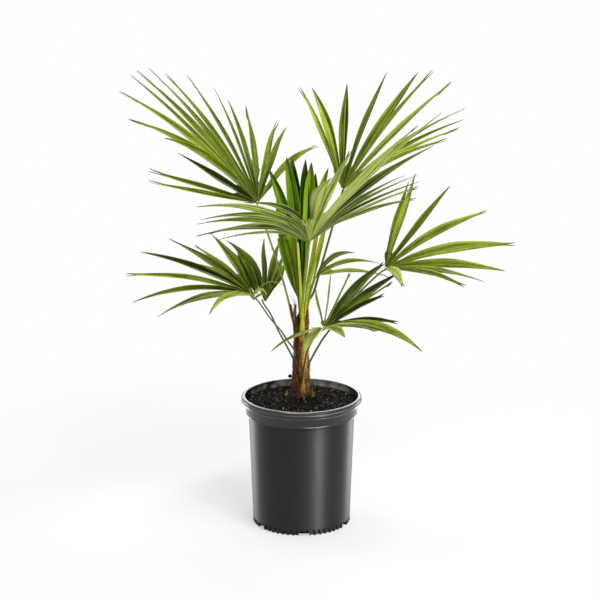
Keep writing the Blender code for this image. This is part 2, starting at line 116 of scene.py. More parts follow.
class Graph:
    """A node tree, with short ways to add and join its nodes."""

    def __init__(self, tree: bpy.types.NodeTree) -> None:
        """Work on this tree."""
        self.tree = tree

    def node(self, kind: str, *given: object, **settings: object) -> bpy.types.Node:
        """Add a node.

        Args:
            kind: its type.
            *given: what its inputs get, in their order, with None for one that is left alone.
            **settings: its options.

        Returns:
            The node.
        """
        made = self.tree.nodes.new(kind)
        for key, setting in settings.items():
            setattr(made, key, setting)
        for socket, value in zip(made.inputs, given):
            if value is not None:
                self.feed(socket, value)
        return made

    def value(self, kind: str, *given: object, output: int | str = 0, **settings: object) -> Value:
        """One output of a new node, made as in node."""
        return Value(self, self.node(kind, *given, **settings).outputs[output])

    def feed(self, socket: bpy.types.NodeSocket, value: object) -> None:
        """Give a socket a constant, or join it to an output.

        Args:
            socket: the input socket.
            value: a number, a tuple or an output.
        """
        if isinstance(value, Value):
            self.tree.links.new(value.socket, socket)
        elif socket.type == "RGBA":
            socket.default_value = (*value, 1.0)
        else:
            socket.default_value = value

    def math(self, operation: str, *given: object) -> Value:
        """The result of a Math node."""
        return self.value("ShaderNodeMath", *given, operation=operation)

    def place(self) -> Value:
        """The point's own place on the object, in metres."""
        return self.value("ShaderNodeTexCoord", output="Object")

    def parts(self, vector: Value) -> list[Value]:
        """A vector's three numbers."""
        made = self.node("ShaderNodeSeparateXYZ", vector)
        return [Value(self, socket) for socket in made.outputs]

    def layer(self, name: str) -> list[Value]:
        """The two numbers that a mesh layer holds for each corner."""
        return self.parts(self.value("ShaderNodeUVMap", output="UV", uv_map=name))[:2]

    def vector(self, x: Value, y: Value, z: object = 0.0) -> Value:
        """A vector of three numbers."""
        return self.value("ShaderNodeCombineXYZ", x, y, z)

    def length(self, vector: Value) -> Value:
        """A vector's length."""
        return self.value("ShaderNodeVectorMath", vector, output="Value", operation="LENGTH")

    def drawn(self, vector: Value, scale: float) -> Value:
        """A vector with its height scaled, which draws a pattern out along Z."""
        return self.value("ShaderNodeMapping", vector, None, None, (1.0, 1.0, scale))

    def noise(self, vector: Value, scale: float, detail: float = 3.0, finer: float = 0.55) -> Value:
        """A Noise texture of this scale and detail, whose finer octaves are this strong."""
        return self.value("ShaderNodeTexNoise", vector, None, scale, detail, finer)

    def ramp(self, level: Value, tones: Tones, places: Sequence[float] = (0.0, 0.5, 1.0)) -> Value:
        """The colour between tones.

        Args:
            level: the place between the tones, from 0 to 1.
            tones: the colours, from low to high.
            places: where each stands.

        Returns:
            The colour.
        """
        made = self.node("ShaderNodeValToRGB", level)
        elements = made.color_ramp.elements
        while len(elements) < len(tones):
            elements.new(0.5)
        for element, place, colour in zip(elements, places, tones):
            element.position = place
            element.color = (*colour, 1.0)
        return Value(self, made.outputs["Color"])

    def mix(self, share: Value, first: object, second: object) -> Value:
        """A colour that is this share of the second and the rest of the first."""
        given = (share, None, None, None, None, None, first, second)
        return self.value("ShaderNodeMix", *given, output=2, data_type="RGBA")

    def seen(self) -> Value:
        """1 for the rays that should see a white background, and 0 for the rest.

        Returns:
            The share.
        """
        rays = self.node("ShaderNodeLightPath").outputs
        camera, glossy, through = (
            Value(self, rays[name]) for name in ("Is Camera Ray", "Is Glossy Ray", "Is Transmission Ray")
        )
        return ((camera + glossy).kept() + through).kept()


class Coat(Graph):
    """A new material, built around one shader."""

    def __init__(self, name: str) -> None:
        """Start a material of this name.

        Args:
            name: the material's name.
        """
        self.material = bpy.data.materials.new(name)
        self.material.use_nodes = True
        super().__init__(self.material.node_tree)
        self.tree.nodes.clear()
        self.shader = self.node("ShaderNodeBsdfPrincipled")
        shaded = Value(self, self.shader.outputs["BSDF"])
        self.output = self.node("ShaderNodeOutputMaterial", shaded)

    def bump(self, height: Value, depth: float, strength: float) -> None:
        """Add relief.

        Args:
            height: the relief.
            depth: what 1 stands for, in metres.
            strength: the share of it that shows.
        """
        made = self.node("ShaderNodeBump", strength, depth)
        self.feed(made.inputs["Height"], height)
        self.feed(self.shader.inputs["Normal"], Value(self, made.outputs["Normal"]))

    def surface(self, colour: object, rough: object, gloss: object = 0.5, **others: object) -> Material:
        """Feed the shader.

        Args:
            colour: its base colour.
            rough: its roughness.
            gloss: its specular level.
            **others: more sockets, with their spaces as underscores.

        Returns:
            The finished material.
        """
        others |= {"Base_Color": colour, "Roughness": rough, "Specular_IOR_Level": gloss}
        for name, value in others.items():
            self.feed(self.shader.inputs[name.replace("_", " ")], value)
        return self.material


# -------- finishes


@dataclass(frozen=True)
class LeafSkin:
    """One side of a leaf blade: parallel veins, a midrib, and dry tips.

    tones run from dark to bright, and midrib colours the midrib and the fine pale lines. stripes
    is how far the veins sway the tone. painted_fold_shade is painted shade on one half of each
    segment, as if its fold shaded it, painted_hub_shade is painted shade at the end by the hub,
    and line_share is how clear the pale lines are.
    """

    name: str
    tones: Tones
    midrib: Colour
    tip: Colour
    vein_depth: float
    roughness: float
    midrib_share: float
    stripes: float
    vein_scale: float = 4.2
    painted_fold_shade: float = 0.30
    line_share: float = 0.10
    painted_hub_shade: float = 0.24

    def material(self) -> Material:
        """Build the nodes, which read their place across and along each segment.

        Returns:
            The material.
        """
        g = Coat(self.name)
        across, along = g.layer("segment")
        tone, seed = g.layer("tone")
        veins = g.noise(g.vector(across * 2.4, along * 0.5, seed), self.vein_scale, 3.0, 0.65)
        broad = g.noise(g.vector(across, along * 3.0, seed), 2.2, 2.0)
        mottle = g.noise(g.place(), 55.0)
        level = tone + (veins - 0.5) * self.stripes + (broad - 0.5) * 0.45
        # painted shade: one half of each segment darker, as from its fold, and the end by the hub darker, as
        # under the leaves above
        level -= across.spread(0.47, 0.55, 0.0, self.painted_fold_shade)
        level -= along.spread(0.10, 0.42, self.painted_hub_shade, 0.0)
        level = (level + (mottle - 0.5) * 0.16).kept()
        lane = g.math("FRACT", across * 7.0)
        line = abs(lane - 0.5).spread(0.05, 0.17, self.line_share, 0.0)
        line *= veins.spread(0.40, 0.58, 0.15, 1.0)
        colour = g.mix(line, g.ramp(level, self.tones), self.midrib)
        rib = abs(across - 0.5).spread(0.0, 0.07, 1.0, 0.0)
        colour = g.mix(rib * along.spread(0.75, 1.0, self.midrib_share, 0.0), colour, self.midrib)
        # painted highlight: the segment's raised edges mixed towards the brightest tone
        edge = abs(across - 0.5).spread(0.44, 0.5, 0.0, 0.45)
        colour = g.mix(edge, colour, self.tones[-1])
        ragged = along + (broad - 0.5) * 0.10
        colour = g.mix(ragged.spread(0.90, 0.985), colour, self.tip)
        g.bump(veins, self.vein_depth, 0.6)
        rough = mottle.spread(0.3, 0.7, self.roughness - 0.05, self.roughness + 0.07)
        return g.surface(colour, rough, 0.045)


@dataclass(frozen=True)
class StalkSkin:
    """A green stalk: fine lines along it, another colour at its foot, and painted shade on one side with
    painted light on the other.
    """

    name: str
    tones: Tones
    foot: Colour
    roughness: float
    edge: float = 0.0

    def material(self) -> Material:
        """Build the nodes, which read their place round and along the stalk.

        Returns:
            The material.
        """
        g = Coat(self.name)
        around, along = g.layer("segment")
        tone, seed = g.layer("tone")
        lines = g.noise(g.vector(around * 14.0, along * 3.0, seed), 3.0)
        patches = g.noise(g.place(), 60.0)
        # painted light and shade: edge darkens one side of the stalk and lightens the other
        level = tone + (lines - 0.5) * 0.7 - g.math("COSINE", around * math.tau) * self.edge
        level = (level + (patches - 0.5) * 0.5).kept()
        low = along + (lines - 0.5) * 0.08
        colour = g.mix(low.spread(0.06, 0.20, 1.0, 0.0), g.ramp(level, self.tones), self.foot)
        g.bump(lines, 0.0003, 0.5)
        rough = patches.spread(0.3, 0.7, self.roughness - 0.06, self.roughness + 0.08)
        return g.surface(colour, rough, 0.10)


@dataclass(frozen=True)
class FibreSkin:
    """Matted or strap-like plant fibre: long ragged streaks of several browns."""

    name: str
    tones: Tones
    streak: float
    depth: float

    def material(self) -> Material:
        """Build the nodes, whose streaks run along Z.

        Returns:
            The material.
        """
        g = Coat(self.name)
        place = g.place()
        tone, _ = g.layer("tone")
        streaks = g.noise(g.drawn(place, self.streak), 640.0, 5.0, 0.7)
        wide = g.noise(g.drawn(place, 0.8), 150.0, 4.0, 0.7)
        fine = g.noise(g.drawn(place, 0.30), 1700.0, 2.0)
        level = (streaks * 0.75 + wide * 0.65 + (tone - 0.70)).kept()
        colour = g.ramp(level, self.tones, (0.26, 0.46, 0.62, 0.78))
        g.bump(streaks + fine * 0.4, self.depth, 0.9)
        return g.surface(colour, fine.spread(0.3, 0.7, 0.80, 0.96), 0.08)


@dataclass(frozen=True)
class LooseSkin:
    """Loose bits, such as grains, crumbs and fibres, each with its own tone."""

    name: str
    tones: Tones
    depth: float = 0.0
    grain: Point3 = (900.0, 4.0, 0.65)
    sway: float = 0.5
    middle: float = 0.5
    roughness: Point2 = (0.50, 0.90)
    gloss: float = 0.12

    def material(self) -> Material:
        """Build the nodes, which colour bit by bit.

        Returns:
            The material.
        """
        g = Coat(self.name)
        tone, _ = g.layer("tone")
        grain = g.noise(g.place(), *self.grain)
        colour = g.ramp((tone + (grain - 0.5) * self.sway).kept(), self.tones, (0.0, self.middle, 1.0))
        if self.depth:
            g.bump(grain, self.depth, 0.8)
        return g.surface(colour, grain.spread(0.3, 0.7, *self.roughness), self.gloss)


@dataclass(frozen=True)
class SoilMix:
    """Moist bark compost: near-black crumbs with brown bits."""

    name: str
    tones: Tones

    def material(self) -> Material:
        """Build the nodes, which colour crumb by crumb.

        Returns:
            The material.
        """
        g = Coat(self.name)
        place = g.place()
        cells = g.value("ShaderNodeTexVoronoi", place, None, 330.0, output="Color")
        crumb = g.node("ShaderNodeSeparateColor", cells).outputs
        wide = g.noise(place, 38.0, 4.0)
        fine = g.noise(place, 800.0, 4.0, 0.7)
        level = Value(g, crumb[0]) * 0.55 + (wide - 0.4) * 0.5
        level = (level + (fine - 0.5) * 0.5).kept()
        colour = g.ramp(level, self.tones, (0.15, 0.62, 0.98))
        g.bump(fine + Value(g, crumb[1]), 0.0012, 0.9)
        return g.surface(colour, fine.spread(0.3, 0.7, 0.55, 0.95), 0.05)


@dataclass(frozen=True)
class PotPlastic:
    """Black moulded plastic: satin, with a fine grain, pale rings of painted highlight and light dust.

    painted_reflection is a reflection painted on the inner wall under the rim, strongest at the back,
    and wear_and_highlight the colour of the rings, painted highlight lines with some scuffing, each of
    which has its height and strength. The wall is drawn up and down below the collar, and smooth above.
    """

    name: str
    base: Colour
    dust: Colour
    painted_reflection: Colour
    wear_and_highlight: Colour
    rings: tuple[Point2, ...]
    roughness: float
    lip_roughness: float
    collar: Point2 = (0.2195, 0.2225)

    def material(self) -> Material:
        """Build the nodes, which read the wall's rings from the height.

        Returns:
            The material.
        """
        g = Coat(self.name)
        place = g.place()
        x, y, z = g.parts(place)
        cloud = g.noise(place, 26.0, 4.0)
        drawn = g.noise(g.drawn(place, 0.05), 240.0)
        scuff = g.noise(g.drawn(place, 0.18), 190.0, 4.0, 0.7)
        specks = g.noise(place, 420.0, 1.0).spread(0.70, 0.76)
        dusty = (scuff.spread(0.55, 0.80) * 0.10 + specks * 0.12).kept()
        colour = g.mix(dusty, self.base, self.dust)
        inside = g.length(g.vector(x, y)).spread(0.1095, 0.1112, 1.0, 0.0)
        # painted reflection: a pale patch inside the rim, strongest at the back, where the inner wall would
        # mirror the bright room
        painted_reflection = inside * z.spread(0.2405, 0.2460)
        painted_reflection *= g.noise(place, 26.0, 4.0, 0.6).spread(0.42, 0.62, 0.04, 0.95)
        colour = g.mix(painted_reflection * y.spread(0.045, 0.088, 0.12, 1.0), colour, self.painted_reflection)
        # painted highlight: pale rings at the lip and collar steps standing in for bright reflected lines,
        # with some scuffing
        ring_wear_and_highlight: float | Value = 0.0
        for height, strength in self.rings:
            ring = abs(z - height).spread(0.0003, 0.0011, strength, 0.0)
            ring_wear_and_highlight = g.math("MAXIMUM", ring_wear_and_highlight, ring)
        ring_wear_and_highlight = ring_wear_and_highlight * (1.0 - inside) * g.noise(place, 11.0).spread(0.38, 0.62, 0.35, 1.0)
        colour = g.mix(ring_wear_and_highlight, colour, self.wear_and_highlight)
        g.bump(g.noise(place, 900.0) + cloud * 3.0, 0.00022, 0.07)
        rough = z.spread(*self.collar, self.roughness, self.lip_roughness)
        rough += cloud.spread(0.3, 0.7, -0.02, 0.03)
        rough += drawn.spread(0.3, 0.7, -0.03, 0.03)
        return g.surface(
            colour,
            rough + dusty * 0.4,
            z.spread(*self.collar, 0.36, 0.52),
            Anisotropic=z.spread(*self.collar, 0.80, 0.0),
            Anisotropic_Rotation=0.25,
            Tangent=g.value("ShaderNodeTangent", direction_type="RADIAL", axis="Z"),
        )


LEAF_UPPER = LeafSkin(
    "leaf upper side",
    ((0.011, 0.024, 0.0006), (0.115, 0.165, 0.0075), (0.48, 0.56, 0.07)),
    midrib=(0.56, 0.64, 0.16),
    tip=(0.070, 0.072, 0.040),
    vein_depth=0.0004,
    roughness=0.46,
    midrib_share=0.62,
    stripes=1.75,
)
LEAF_UNDER = LeafSkin(
    "leaf under side",
    ((0.014, 0.028, 0.0008), (0.122, 0.192, 0.011), (0.59, 0.69, 0.16)),
    midrib=(0.78, 0.86, 0.36),
    tip=(0.090, 0.090, 0.055),
    vein_depth=0.0005,
    roughness=0.52,
    midrib_share=0.80,
    stripes=2.9,
    vein_scale=3.0,
    painted_fold_shade=0.12,
    line_share=0.60,
    painted_hub_shade=0.05,
)
LEAF_YOUNG = LeafSkin(
    "young leaf",
    ((0.006, 0.026, 0.0006), (0.075, 0.170, 0.004), (0.33, 0.50, 0.02)),
    midrib=(0.42, 0.58, 0.09),
    tip=(0.08, 0.08, 0.04),
    vein_depth=0.0005,
    roughness=0.46,
    midrib_share=0.45,
    stripes=1.30,
)
STALK_GREEN = StalkSkin(
    "stalk green",
    ((0.040, 0.056, 0.004), (0.165, 0.195, 0.045), (0.470, 0.480, 0.115)),
    foot=(0.470, 0.340, 0.045),
    roughness=0.42,
    edge=0.48,
)
STALK_LOW = StalkSkin(
    "stalk green low",
    ((0.030, 0.048, 0.010), (0.098, 0.118, 0.016), (0.230, 0.260, 0.050)),
    foot=(0.085, 0.078, 0.018),
    roughness=0.45,
)
CROWN_SKIN = StalkSkin(
    "crown green",
    ((0.080, 0.135, 0.006), (0.360, 0.460, 0.012), (0.680, 0.760, 0.080)),
    foot=(0.46, 0.40, 0.02),
    roughness=0.42,
    edge=0.15,
)
SHOOT_SKIN = StalkSkin(
    "shoot green",
    ((0.070, 0.100, 0.008), (0.260, 0.320, 0.040), (0.520, 0.540, 0.240)),
    foot=(0.42, 0.40, 0.20),
    roughness=0.45,
)
STEM_MAT = FibreSkin(
    "stem fibre mat",
    ((0.016, 0.006, 0.003), (0.088, 0.034, 0.011), (0.260, 0.108, 0.028), (0.680, 0.370, 0.090)),
    streak=0.32,
    depth=0.0011,
)
OLD_BASE = FibreSkin(
    "old leaf base",
    ((0.022, 0.010, 0.006), (0.090, 0.036, 0.016), (0.250, 0.110, 0.040), (0.560, 0.330, 0.130)),
    streak=0.14,
    depth=0.0006,
)
STRANDS = LooseSkin(
    "loose strands",
    ((0.030, 0.014, 0.008), (0.130, 0.068, 0.034), (0.420, 0.280, 0.150)),
    grain=(160.0, 2.0, 0.55),
    sway=0.4,
    middle=0.55,
    roughness=(0.65, 0.85),
    gloss=0.25,
)
CRUMBS = LooseSkin(
    "soil crumbs",
    ((0.0035, 0.0018, 0.0010), (0.018, 0.0090, 0.0046), (0.150, 0.122, 0.096)),
    depth=0.0006,
)
# perlite grains, strewn thickly enough to stand in for the moist soil's glints too: partly painted highlight
PALE_GRAINS_AND_GLINTS = LooseSkin(
    "pale grains",
    ((0.30, 0.28, 0.25), (0.52, 0.50, 0.46), (0.78, 0.76, 0.72)),
    depth=0.0003,
)
SOIL_MIX = SoilMix(
    "potting mix",
    ((0.0030, 0.0015, 0.0008), (0.014, 0.0070, 0.0036), (0.080, 0.050, 0.030)),
)
POT_BLACK = PotPlastic(
    "pot plastic",
    base=(0.0022, 0.0022, 0.0028),
    dust=(0.055, 0.053, 0.051),
    # painted reflection on the inner wall under the rim
    painted_reflection=(0.70, 0.69, 0.66),
    # pale rings: painted highlight lines at the lip and collar steps, with some scuffing
    wear_and_highlight=(0.42, 0.42, 0.43),
    rings=((0.2570, 0.90), (0.2500, 0.38), (0.2414, 0.24), (0.2226, 0.24)),
    roughness=0.50,
    lip_roughness=0.22,
)


# -------- the plan of the leaves


class LeafTone(Enum):
    """How bright a leaf is drawn: its age, with painted light on the open leaves and painted shade on the
    shaded ones.
    """

    OPEN = 0.12
    MATURE = 0.02
    LOWER = -0.10
    SHADED = -0.18
    YOUNG = 0.0


class StalkTone(Enum):
    """The finishes that a stalk can have."""

    LOW = STALK_LOW
    GREEN = STALK_GREEN
    CROWN = CROWN_SKIN


@dataclass(frozen=True)
class Foot:
    """How a stalk's foot clasps the stem: its half width, how far it runs down, and its finish."""

    half: float = 0.0042
    run_down: float = 0.022
    tone: StalkTone = StalkTone.LOW


@dataclass(frozen=True)
class Fan:
    """A leaf: the numbers that its CAD blade and petiole have too, and how it grew beyond them.

    hub is in mm. bearing, rise, roll and fold place the blade in degrees, and angles place its
    segments. A segment's row is its length in mm, droop in hundredths, lift in degrees, and sweep,
    width and shade in hundredths; shade is matched to how bright the segment looks, so it holds
    painted light and painted shade besides the segment's own tone. seat is how far under the hub
    the petiole runs, and route its way there, both in mm.

    drop moves the drawn hub in mm, fork is the share of the segments whose tip is forked and
    fork_part how much of their length that takes. joined scales how far from the hub the segments
    stay whole, crowd how far they may cover their neighbours, and blunt says how long they stay
    broad. lean carries the middle of the first segments this many mm to the right.
    """

    name: str
    hub: Point3
    bearing: float
    rise: float
    roll: float
    fold: float
    angles: tuple[float, ...]
    half_width: float
    split_r: float
    segments: tuple[tuple[int, int, int, int, int, int], ...]
    seat: float
    route: tuple[Point3, ...]
    tone: LeafTone
    drop: Point3 = (0.0, 0.0, 0.0)
    fork: float = 0.4
    fork_part: float = 0.08
    joined: float = 1.0
    crowd: float = 1.0
    blunt: float = 1.25
    lean: tuple[float, ...] = ()
    foot: Foot = Foot()

    def axes(self) -> tuple[Vector, Vector, Vector]:
        """The blade's axes: along its middle, to its side, and out of its upper face.

        Returns:
            The three directions.
        """
        bearing, rise, roll = (math.radians(a) for a in (self.bearing, self.rise, self.roll))
        level = Vector((math.cos(bearing), math.sin(bearing), 0.0))
        along = level * math.cos(rise) + UP * math.sin(rise)
        flat = along.cross(UP).normalized()
        above = flat.cross(along)
        side = flat * math.cos(roll) + above * math.sin(roll)
        face = above * math.cos(roll) - flat * math.sin(roll)
        return along, side, face


def evenly(first: float, step: float, count: int) -> tuple[float, ...]:
    """Angles that stand step degrees apart from first."""
    return tuple(first + step * i for i in range(count))


FANS = (
    Fan(
        "upper_left", (-85, 100, 618), 145, 52, -7, 4, evenly(-74, 8.4, 18), 8, 62,
        (
            (340, 4, -1, -8, 75, 20), (310, 6, -3, -10, 80, 10), (245, 4, 3, -6, 120, -35),
            (320, 20, 9, 8, 120, 30), (380, 22, 3, 8, 120, 30), (400, 16, 1, 6, 110, 35),
            (380, 10, 0, 2, 85, 25), (390, 14, 0, 4, 105, 20), (390, 16, 0, 6, 90, 15),
            (370, 14, -1, 4, 85, 15), (355, 14, 0, 4, 80, 10), (320, 14, 2, 2, 60, 5),
            (315, 16, 0, 4, 80, 0), (320, 16, 0, 6, 105, 15), (210, 22, -6, -6, 170, 0),
            (340, 14, -1, -6, 90, 20), (365, 6, -6, -6, 80, 0), (365, 12, 1, -10, 100, 20),
        ),
        2.85,
        (
            (-18, 38, 400), (-21, 41, 414), (-26, 47, 437), (-42, 68, 491), (-63, 89, 550), (-77, 98, 590),
        ),
        LeafTone.MATURE,
        joined=1.1, fork=0.8, fork_part=0.15, foot=Foot(half=0.004, run_down=0.02, tone=StalkTone.GREEN),
    ),
    Fan(
        "upper_right", (80, 130, 638), 27, 46, -8, 18, evenly(-60, 11.3, 11), 8, 58,
        (
            (330, 10, -3, 6, 70, 35), (310, 22, 9, 6, 110, 10), (285, 14, 3, -2, 115, -25),
            (330, 14, -3, -2, 90, -35), (345, 14, -3, 0, 120, -15), (335, 12, 3, -4, 60, 0),
            (335, 14, 1, -2, 120, 10), (325, 18, -4, -2, 70, 0), (315, 18, -3, -2, 70, -20),
            (315, 16, -1, -2, 90, 20), (320, 14, 3, -2, 90, 35),
        ),
        2.55, ((7, 42, 431), (22, 55, 446), (38, 85, 493), (55, 115, 546), (70, 128, 597)), LeafTone.OPEN,
        fork=0.5, fork_part=0.12, foot=Foot(half=0.004, run_down=0.03),
    ),
    Fan(
        "front", (19, -100, 602), 292, 40, -5, 20, evenly(116, -12.3, 19), 8, 58,
        (
            (185, 14, 11, -4, 50, 35), (220, 20, 11, -8, 80, -35), (200, 24, 8, -8, 80, 20),
            (240, 24, 6, -6, 110, 0), (260, 28, 4, -8, 110, 10), (340, 20, -4, -8, 115, 15),
            (285, 22, -3, -14, 120, -20), (100, 8, -9, 0, 110, 50), (100, 20, 0, 0, 110, 50),
            (240, 20, 10, 10, 150, 45), (245, 10, 14, -4, 130, 25), (370, 10, 2, 0, 120, 50),
            (380, 10, 3, 0, 120, 20), (325, 20, 3, 2, 170, -40), (225, 16, 1, 0, 70, -10),
            (250, 14, 0, 0, 60, -30), (260, 12, -1, 0, 55, -40), (285, 10, -1, 0, 55, 0),
            (325, 10, 0, 2, 80, -20),
        ),
        2.05,
        (
            (1, 17.4, 384), (1, 17, 408), (2, 14, 433), (4, -4, 466), (7, -35, 507), (10, -66, 548),
            (14, -92, 580),
        ),
        LeafTone.MATURE,
        drop=(-5, 6, -18), foot=Foot(half=0.0058, run_down=0.01, tone=StalkTone.CROWN),
    ),
    Fan(
        "lower_left", (-90, -50, 470), 228, 17, 18, 19, evenly(-23, 13.4, 10), 7.5, 55,
        (
            (285, 22, 4, 8, 110, 45), (335, 20, 1, 0, 125, 10), (325, 22, 1, 6, 100, 15),
            (300, 16, -2, 2, 85, 45), (265, 16, 0, 2, 110, -5), (150, 14, -1, 0, 130, 45),
            (215, 16, -1, 0, 130, 0), (175, 16, -1, 0, 110, 45), (180, 12, 6, 0, 120, 25),
            (200, 16, 1, 2, 200, 25),
        ),
        2.45,
        (
            (-14.2, 24.6, 342), (-28, 5, 367), (-39, -12, 390), (-61, -30, 422), (-78, -44, 452),
        ),
        LeafTone.LOWER,
        crowd=1.2,
    ),
    Fan(
        "rear_left", (-72, 90, 425), 116, 42, -39, 20, evenly(8, 9.2, 5), 7.5, 50,
        (
            (250, 24, -8, 8, 230, 15), (185, 12, 4, -4, 100, 10), (200, 16, 7, -4, 110, 20),
            (180, 14, 2, 2, 110, 30), (185, 6, -5, 2, 110, 35),
        ),
        3.2, ((-16.9, 43.4, 320), (-35, 59, 351), (-46, 74, 368), (-60, 86, 396)), LeafTone.LOWER,
        drop=(0, 0, -6), crowd=1.3,
    ),
    Fan(
        "right", (162, 50, 498), 325, 15, -30, 34, (-85, *evenly(-66, 16.0, 8)), 8, 55,
        (
            (215, 12, -10, 0, 100, -10), (210, 8, 8, 6, 100, 30), (225, 10, 0, 6, 105, -5),
            (265, 20, -3, -2, 125, 20), (295, 20, -5, -2, 125, 35), (275, 16, -1, -2, 120, 25),
            (275, 14, -2, 0, 110, 0), (330, 12, -1, 0, 110, -10), (250, 16, 3, 0, 120, 40),
        ),
        2.7, ((17, 34, 316), (34, 36, 348), (50, 38, 372), (106, 46, 444), (148, 50, 486)), LeafTone.OPEN,
        joined=0.6,
    ),
    Fan(
        "lower_right", (43, -70, 412), 319, 19, -17, 22, evenly(-123, 16.4, 13), 7.5, 45,
        (
            (195, 12, -2, -6, 35, 35), (180, 12, 5, 2, 32, 35), (155, 10, 1, 6, 40, 20),
            (205, 12, -3, 2, 190, -30), (195, 10, -6, 6, 150, -30), (165, 8, -2, 4, 50, 30),
            (150, 10, 4, 0, 100, -30), (180, 20, -1, -4, 70, -30), (300, 32, 3, -4, 190, 35),
            (250, 12, 0, 0, 60, 10), (290, 6, -2, -4, 130, 60), (245, 16, -2, -2, 150, 60),
            (215, 20, 3, 4, 70, 30),
        ),
        2.5,
        (
            (1.9, 14.6, 278), (4, -4, 307), (8, -23, 341), (16, -41, 370), (31, -60, 398),
        ),
        LeafTone.SHADED,
        joined=1.05, crowd=1.4, blunt=1.7, foot=Foot(half=0.0042, run_down=0.006, tone=StalkTone.GREEN),
    ),
    Fan(
        "rear_right", (28, 110, 468), 49, 4, -22, 14, evenly(-20, 13.5, 3), 6.5, 45,
        (
            (215, 22, -2, -10, 100, -20), (225, 22, 0, -10, 100, 0), (205, 22, 0, -2, 100, 10),
        ),
        2.6, ((9, 49, 418), (12, 55, 432), (17, 75, 446), (23, 98, 458)), LeafTone.OPEN,
    ),
    Fan(
        "young", (3, 36, 424.6), 90, 85, 0, 0, (-12, -13, -6, -4, 1, 3, 5, 10), 7.5, 120,
        (
            (240, 2, -2, -32, 110, 35), (285, 2, 3, 6, 125, 20), (300, 2, 0, 0, 150, 20),
            (298, 2, -2, 0, 150, -30), (295, 2, 0, 0, 150, -35), (290, 2, 1, 2, 150, 35),
            (268, 2, -1, 4, 140, -35), (282, 2, 0, -16, 125, 35),
        ),
        0, (), LeafTone.YOUNG,
        joined=1.2, crowd=3, blunt=3.6, lean=(9, 7, 3),
    ),
)


SOIL_CROWN_Z = 0.2468
SOIL_PROFILE = ((0.0, 0.0), (0.030, -0.0004), (0.060, -0.0020), (0.090, -0.0034), (0.1065, -0.0040))
STEM_AXIS = Vector((-0.001, 0.035, 0.0))
STEM_PROFILE = (
    (0.2225, 0.0175), (0.245, 0.0184), (0.270, 0.0182), (0.300, 0.0162), (0.335, 0.0142),
    (0.370, 0.0136), (0.400, 0.0142), (0.420, 0.0138), (0.428, 0.0120),
)


# -------- shape helpers


def shares(count: int) -> list[float]:
    """Evenly spaced numbers from 0 to 1."""
    return [i / (count - 1) for i in range(count)]


def turn(count: int) -> list[float]:
    """Evenly spaced angles round a whole turn, in radians."""
    return [math.tau * k / count for k in range(count)]


def radial(radius: float, angle: float, z: float = 0.0) -> Vector:
    """The point at this radius, bearing and height."""
    return Vector((radius * math.cos(angle), radius * math.sin(angle), z))


def blend(first: float, second: float, share: float) -> float:
    """The number this share of the way from first to second."""
    return first + (second - first) * share


def smoothstep(low: float, high: float, x: float) -> float:
    """A smooth rise from 0 at low to 1 at high."""
    t = min(1.0, max(0.0, (x - low) / (high - low)))
    return t * t * (3.0 - 2.0 * t)


def bell(x: float, middle: float, width: float) -> float:
    """A smooth hump of height 1 over its middle."""
    return math.exp(-(((x - middle) / width) ** 2))


def interpolate(table: Sequence[Point2], x: float) -> float:
    """The value at x of a line through (x, value) points.

    Args:
        table: the points, in order of x.
        x: where to read it.

    Returns:
        The value.
    """
    if x <= table[0][0]:
        return table[0][1]
    for (x0, v0), (x1, v1) in zip(table, table[1:]):
        if x <= x1:
            return v0 + (v1 - v0) * (x - x0) / (x1 - x0)
    return table[-1][1]


def in_metres(places: Iterable[Point3]) -> list[Vector]:
    """Places in mm as points in metres."""
    return [Vector(place) * MM for place in places]


def catmull(route: Sequence[Vector], count: int) -> list[Vector]:
    """Points along a smooth curve through a route's own points, its two ends included.

    Args:
        route: the points that it passes through.
        count: how many points to give.

    Returns:
        The points.
    """
    ends = [2 * route[0] - route[1], *route, 2 * route[-1] - route[-2]]
    points = []
    for i in range(count):
        place = i * (len(route) - 1) / (count - 1)
        k = min(int(place), len(route) - 2)
        t = place - k
        p0, p1, p2, p3 = ends[k : k + 4]
        curved = 2 * p1 + (p2 - p0) * t + (2 * p0 - 5 * p1 + 4 * p2 - p3) * t * t
        points.append((curved + (3 * p1 - p0 - 3 * p2 + p3) * t * t * t) / 2)
    return points


def squared(ahead: Vector, wish: Vector) -> Vector:
    """The direction square to ahead that is nearest to the wish."""
    return (wish - ahead * wish.dot(ahead)).normalized()


def heading(path: Sequence[Vector], i: int) -> Vector:
    """The way ahead at a point of a path."""
    return (path[min(i + 1, len(path) - 1)] - path[max(i - 1, 0)]).normalized()


def soil_height(reach: float) -> float:
    """The soil's height at this distance from the pot's axis."""
    return SOIL_CROWN_Z + interpolate(SOIL_PROFILE, reach)


def stem_point(angle: float, z: float, stand: float = 0.0) -> Vector:
    """The point at this bearing and height that stands this far off the stem's surface."""
    return STEM_AXIS + radial(interpolate(STEM_PROFILE, z) + stand, angle, z)


def icosahedron() -> tuple[list[Vector], list[tuple[int, ...]]]:
    """The points and faces of an icosahedron of radius 1.

    Returns:
        The points, and each face's point numbers.
    """
    build = bmesh.new()
    bmesh.ops.create_icosphere(build, subdivisions=1, radius=1.0)
    points = [vertex.co.copy() for vertex in build.verts]
    faces = [tuple(vertex.index for vertex in face.verts) for face in build.faces]
    build.free()
    return points, faces


BALL_POINTS, BALL_FACES = icosahedron()


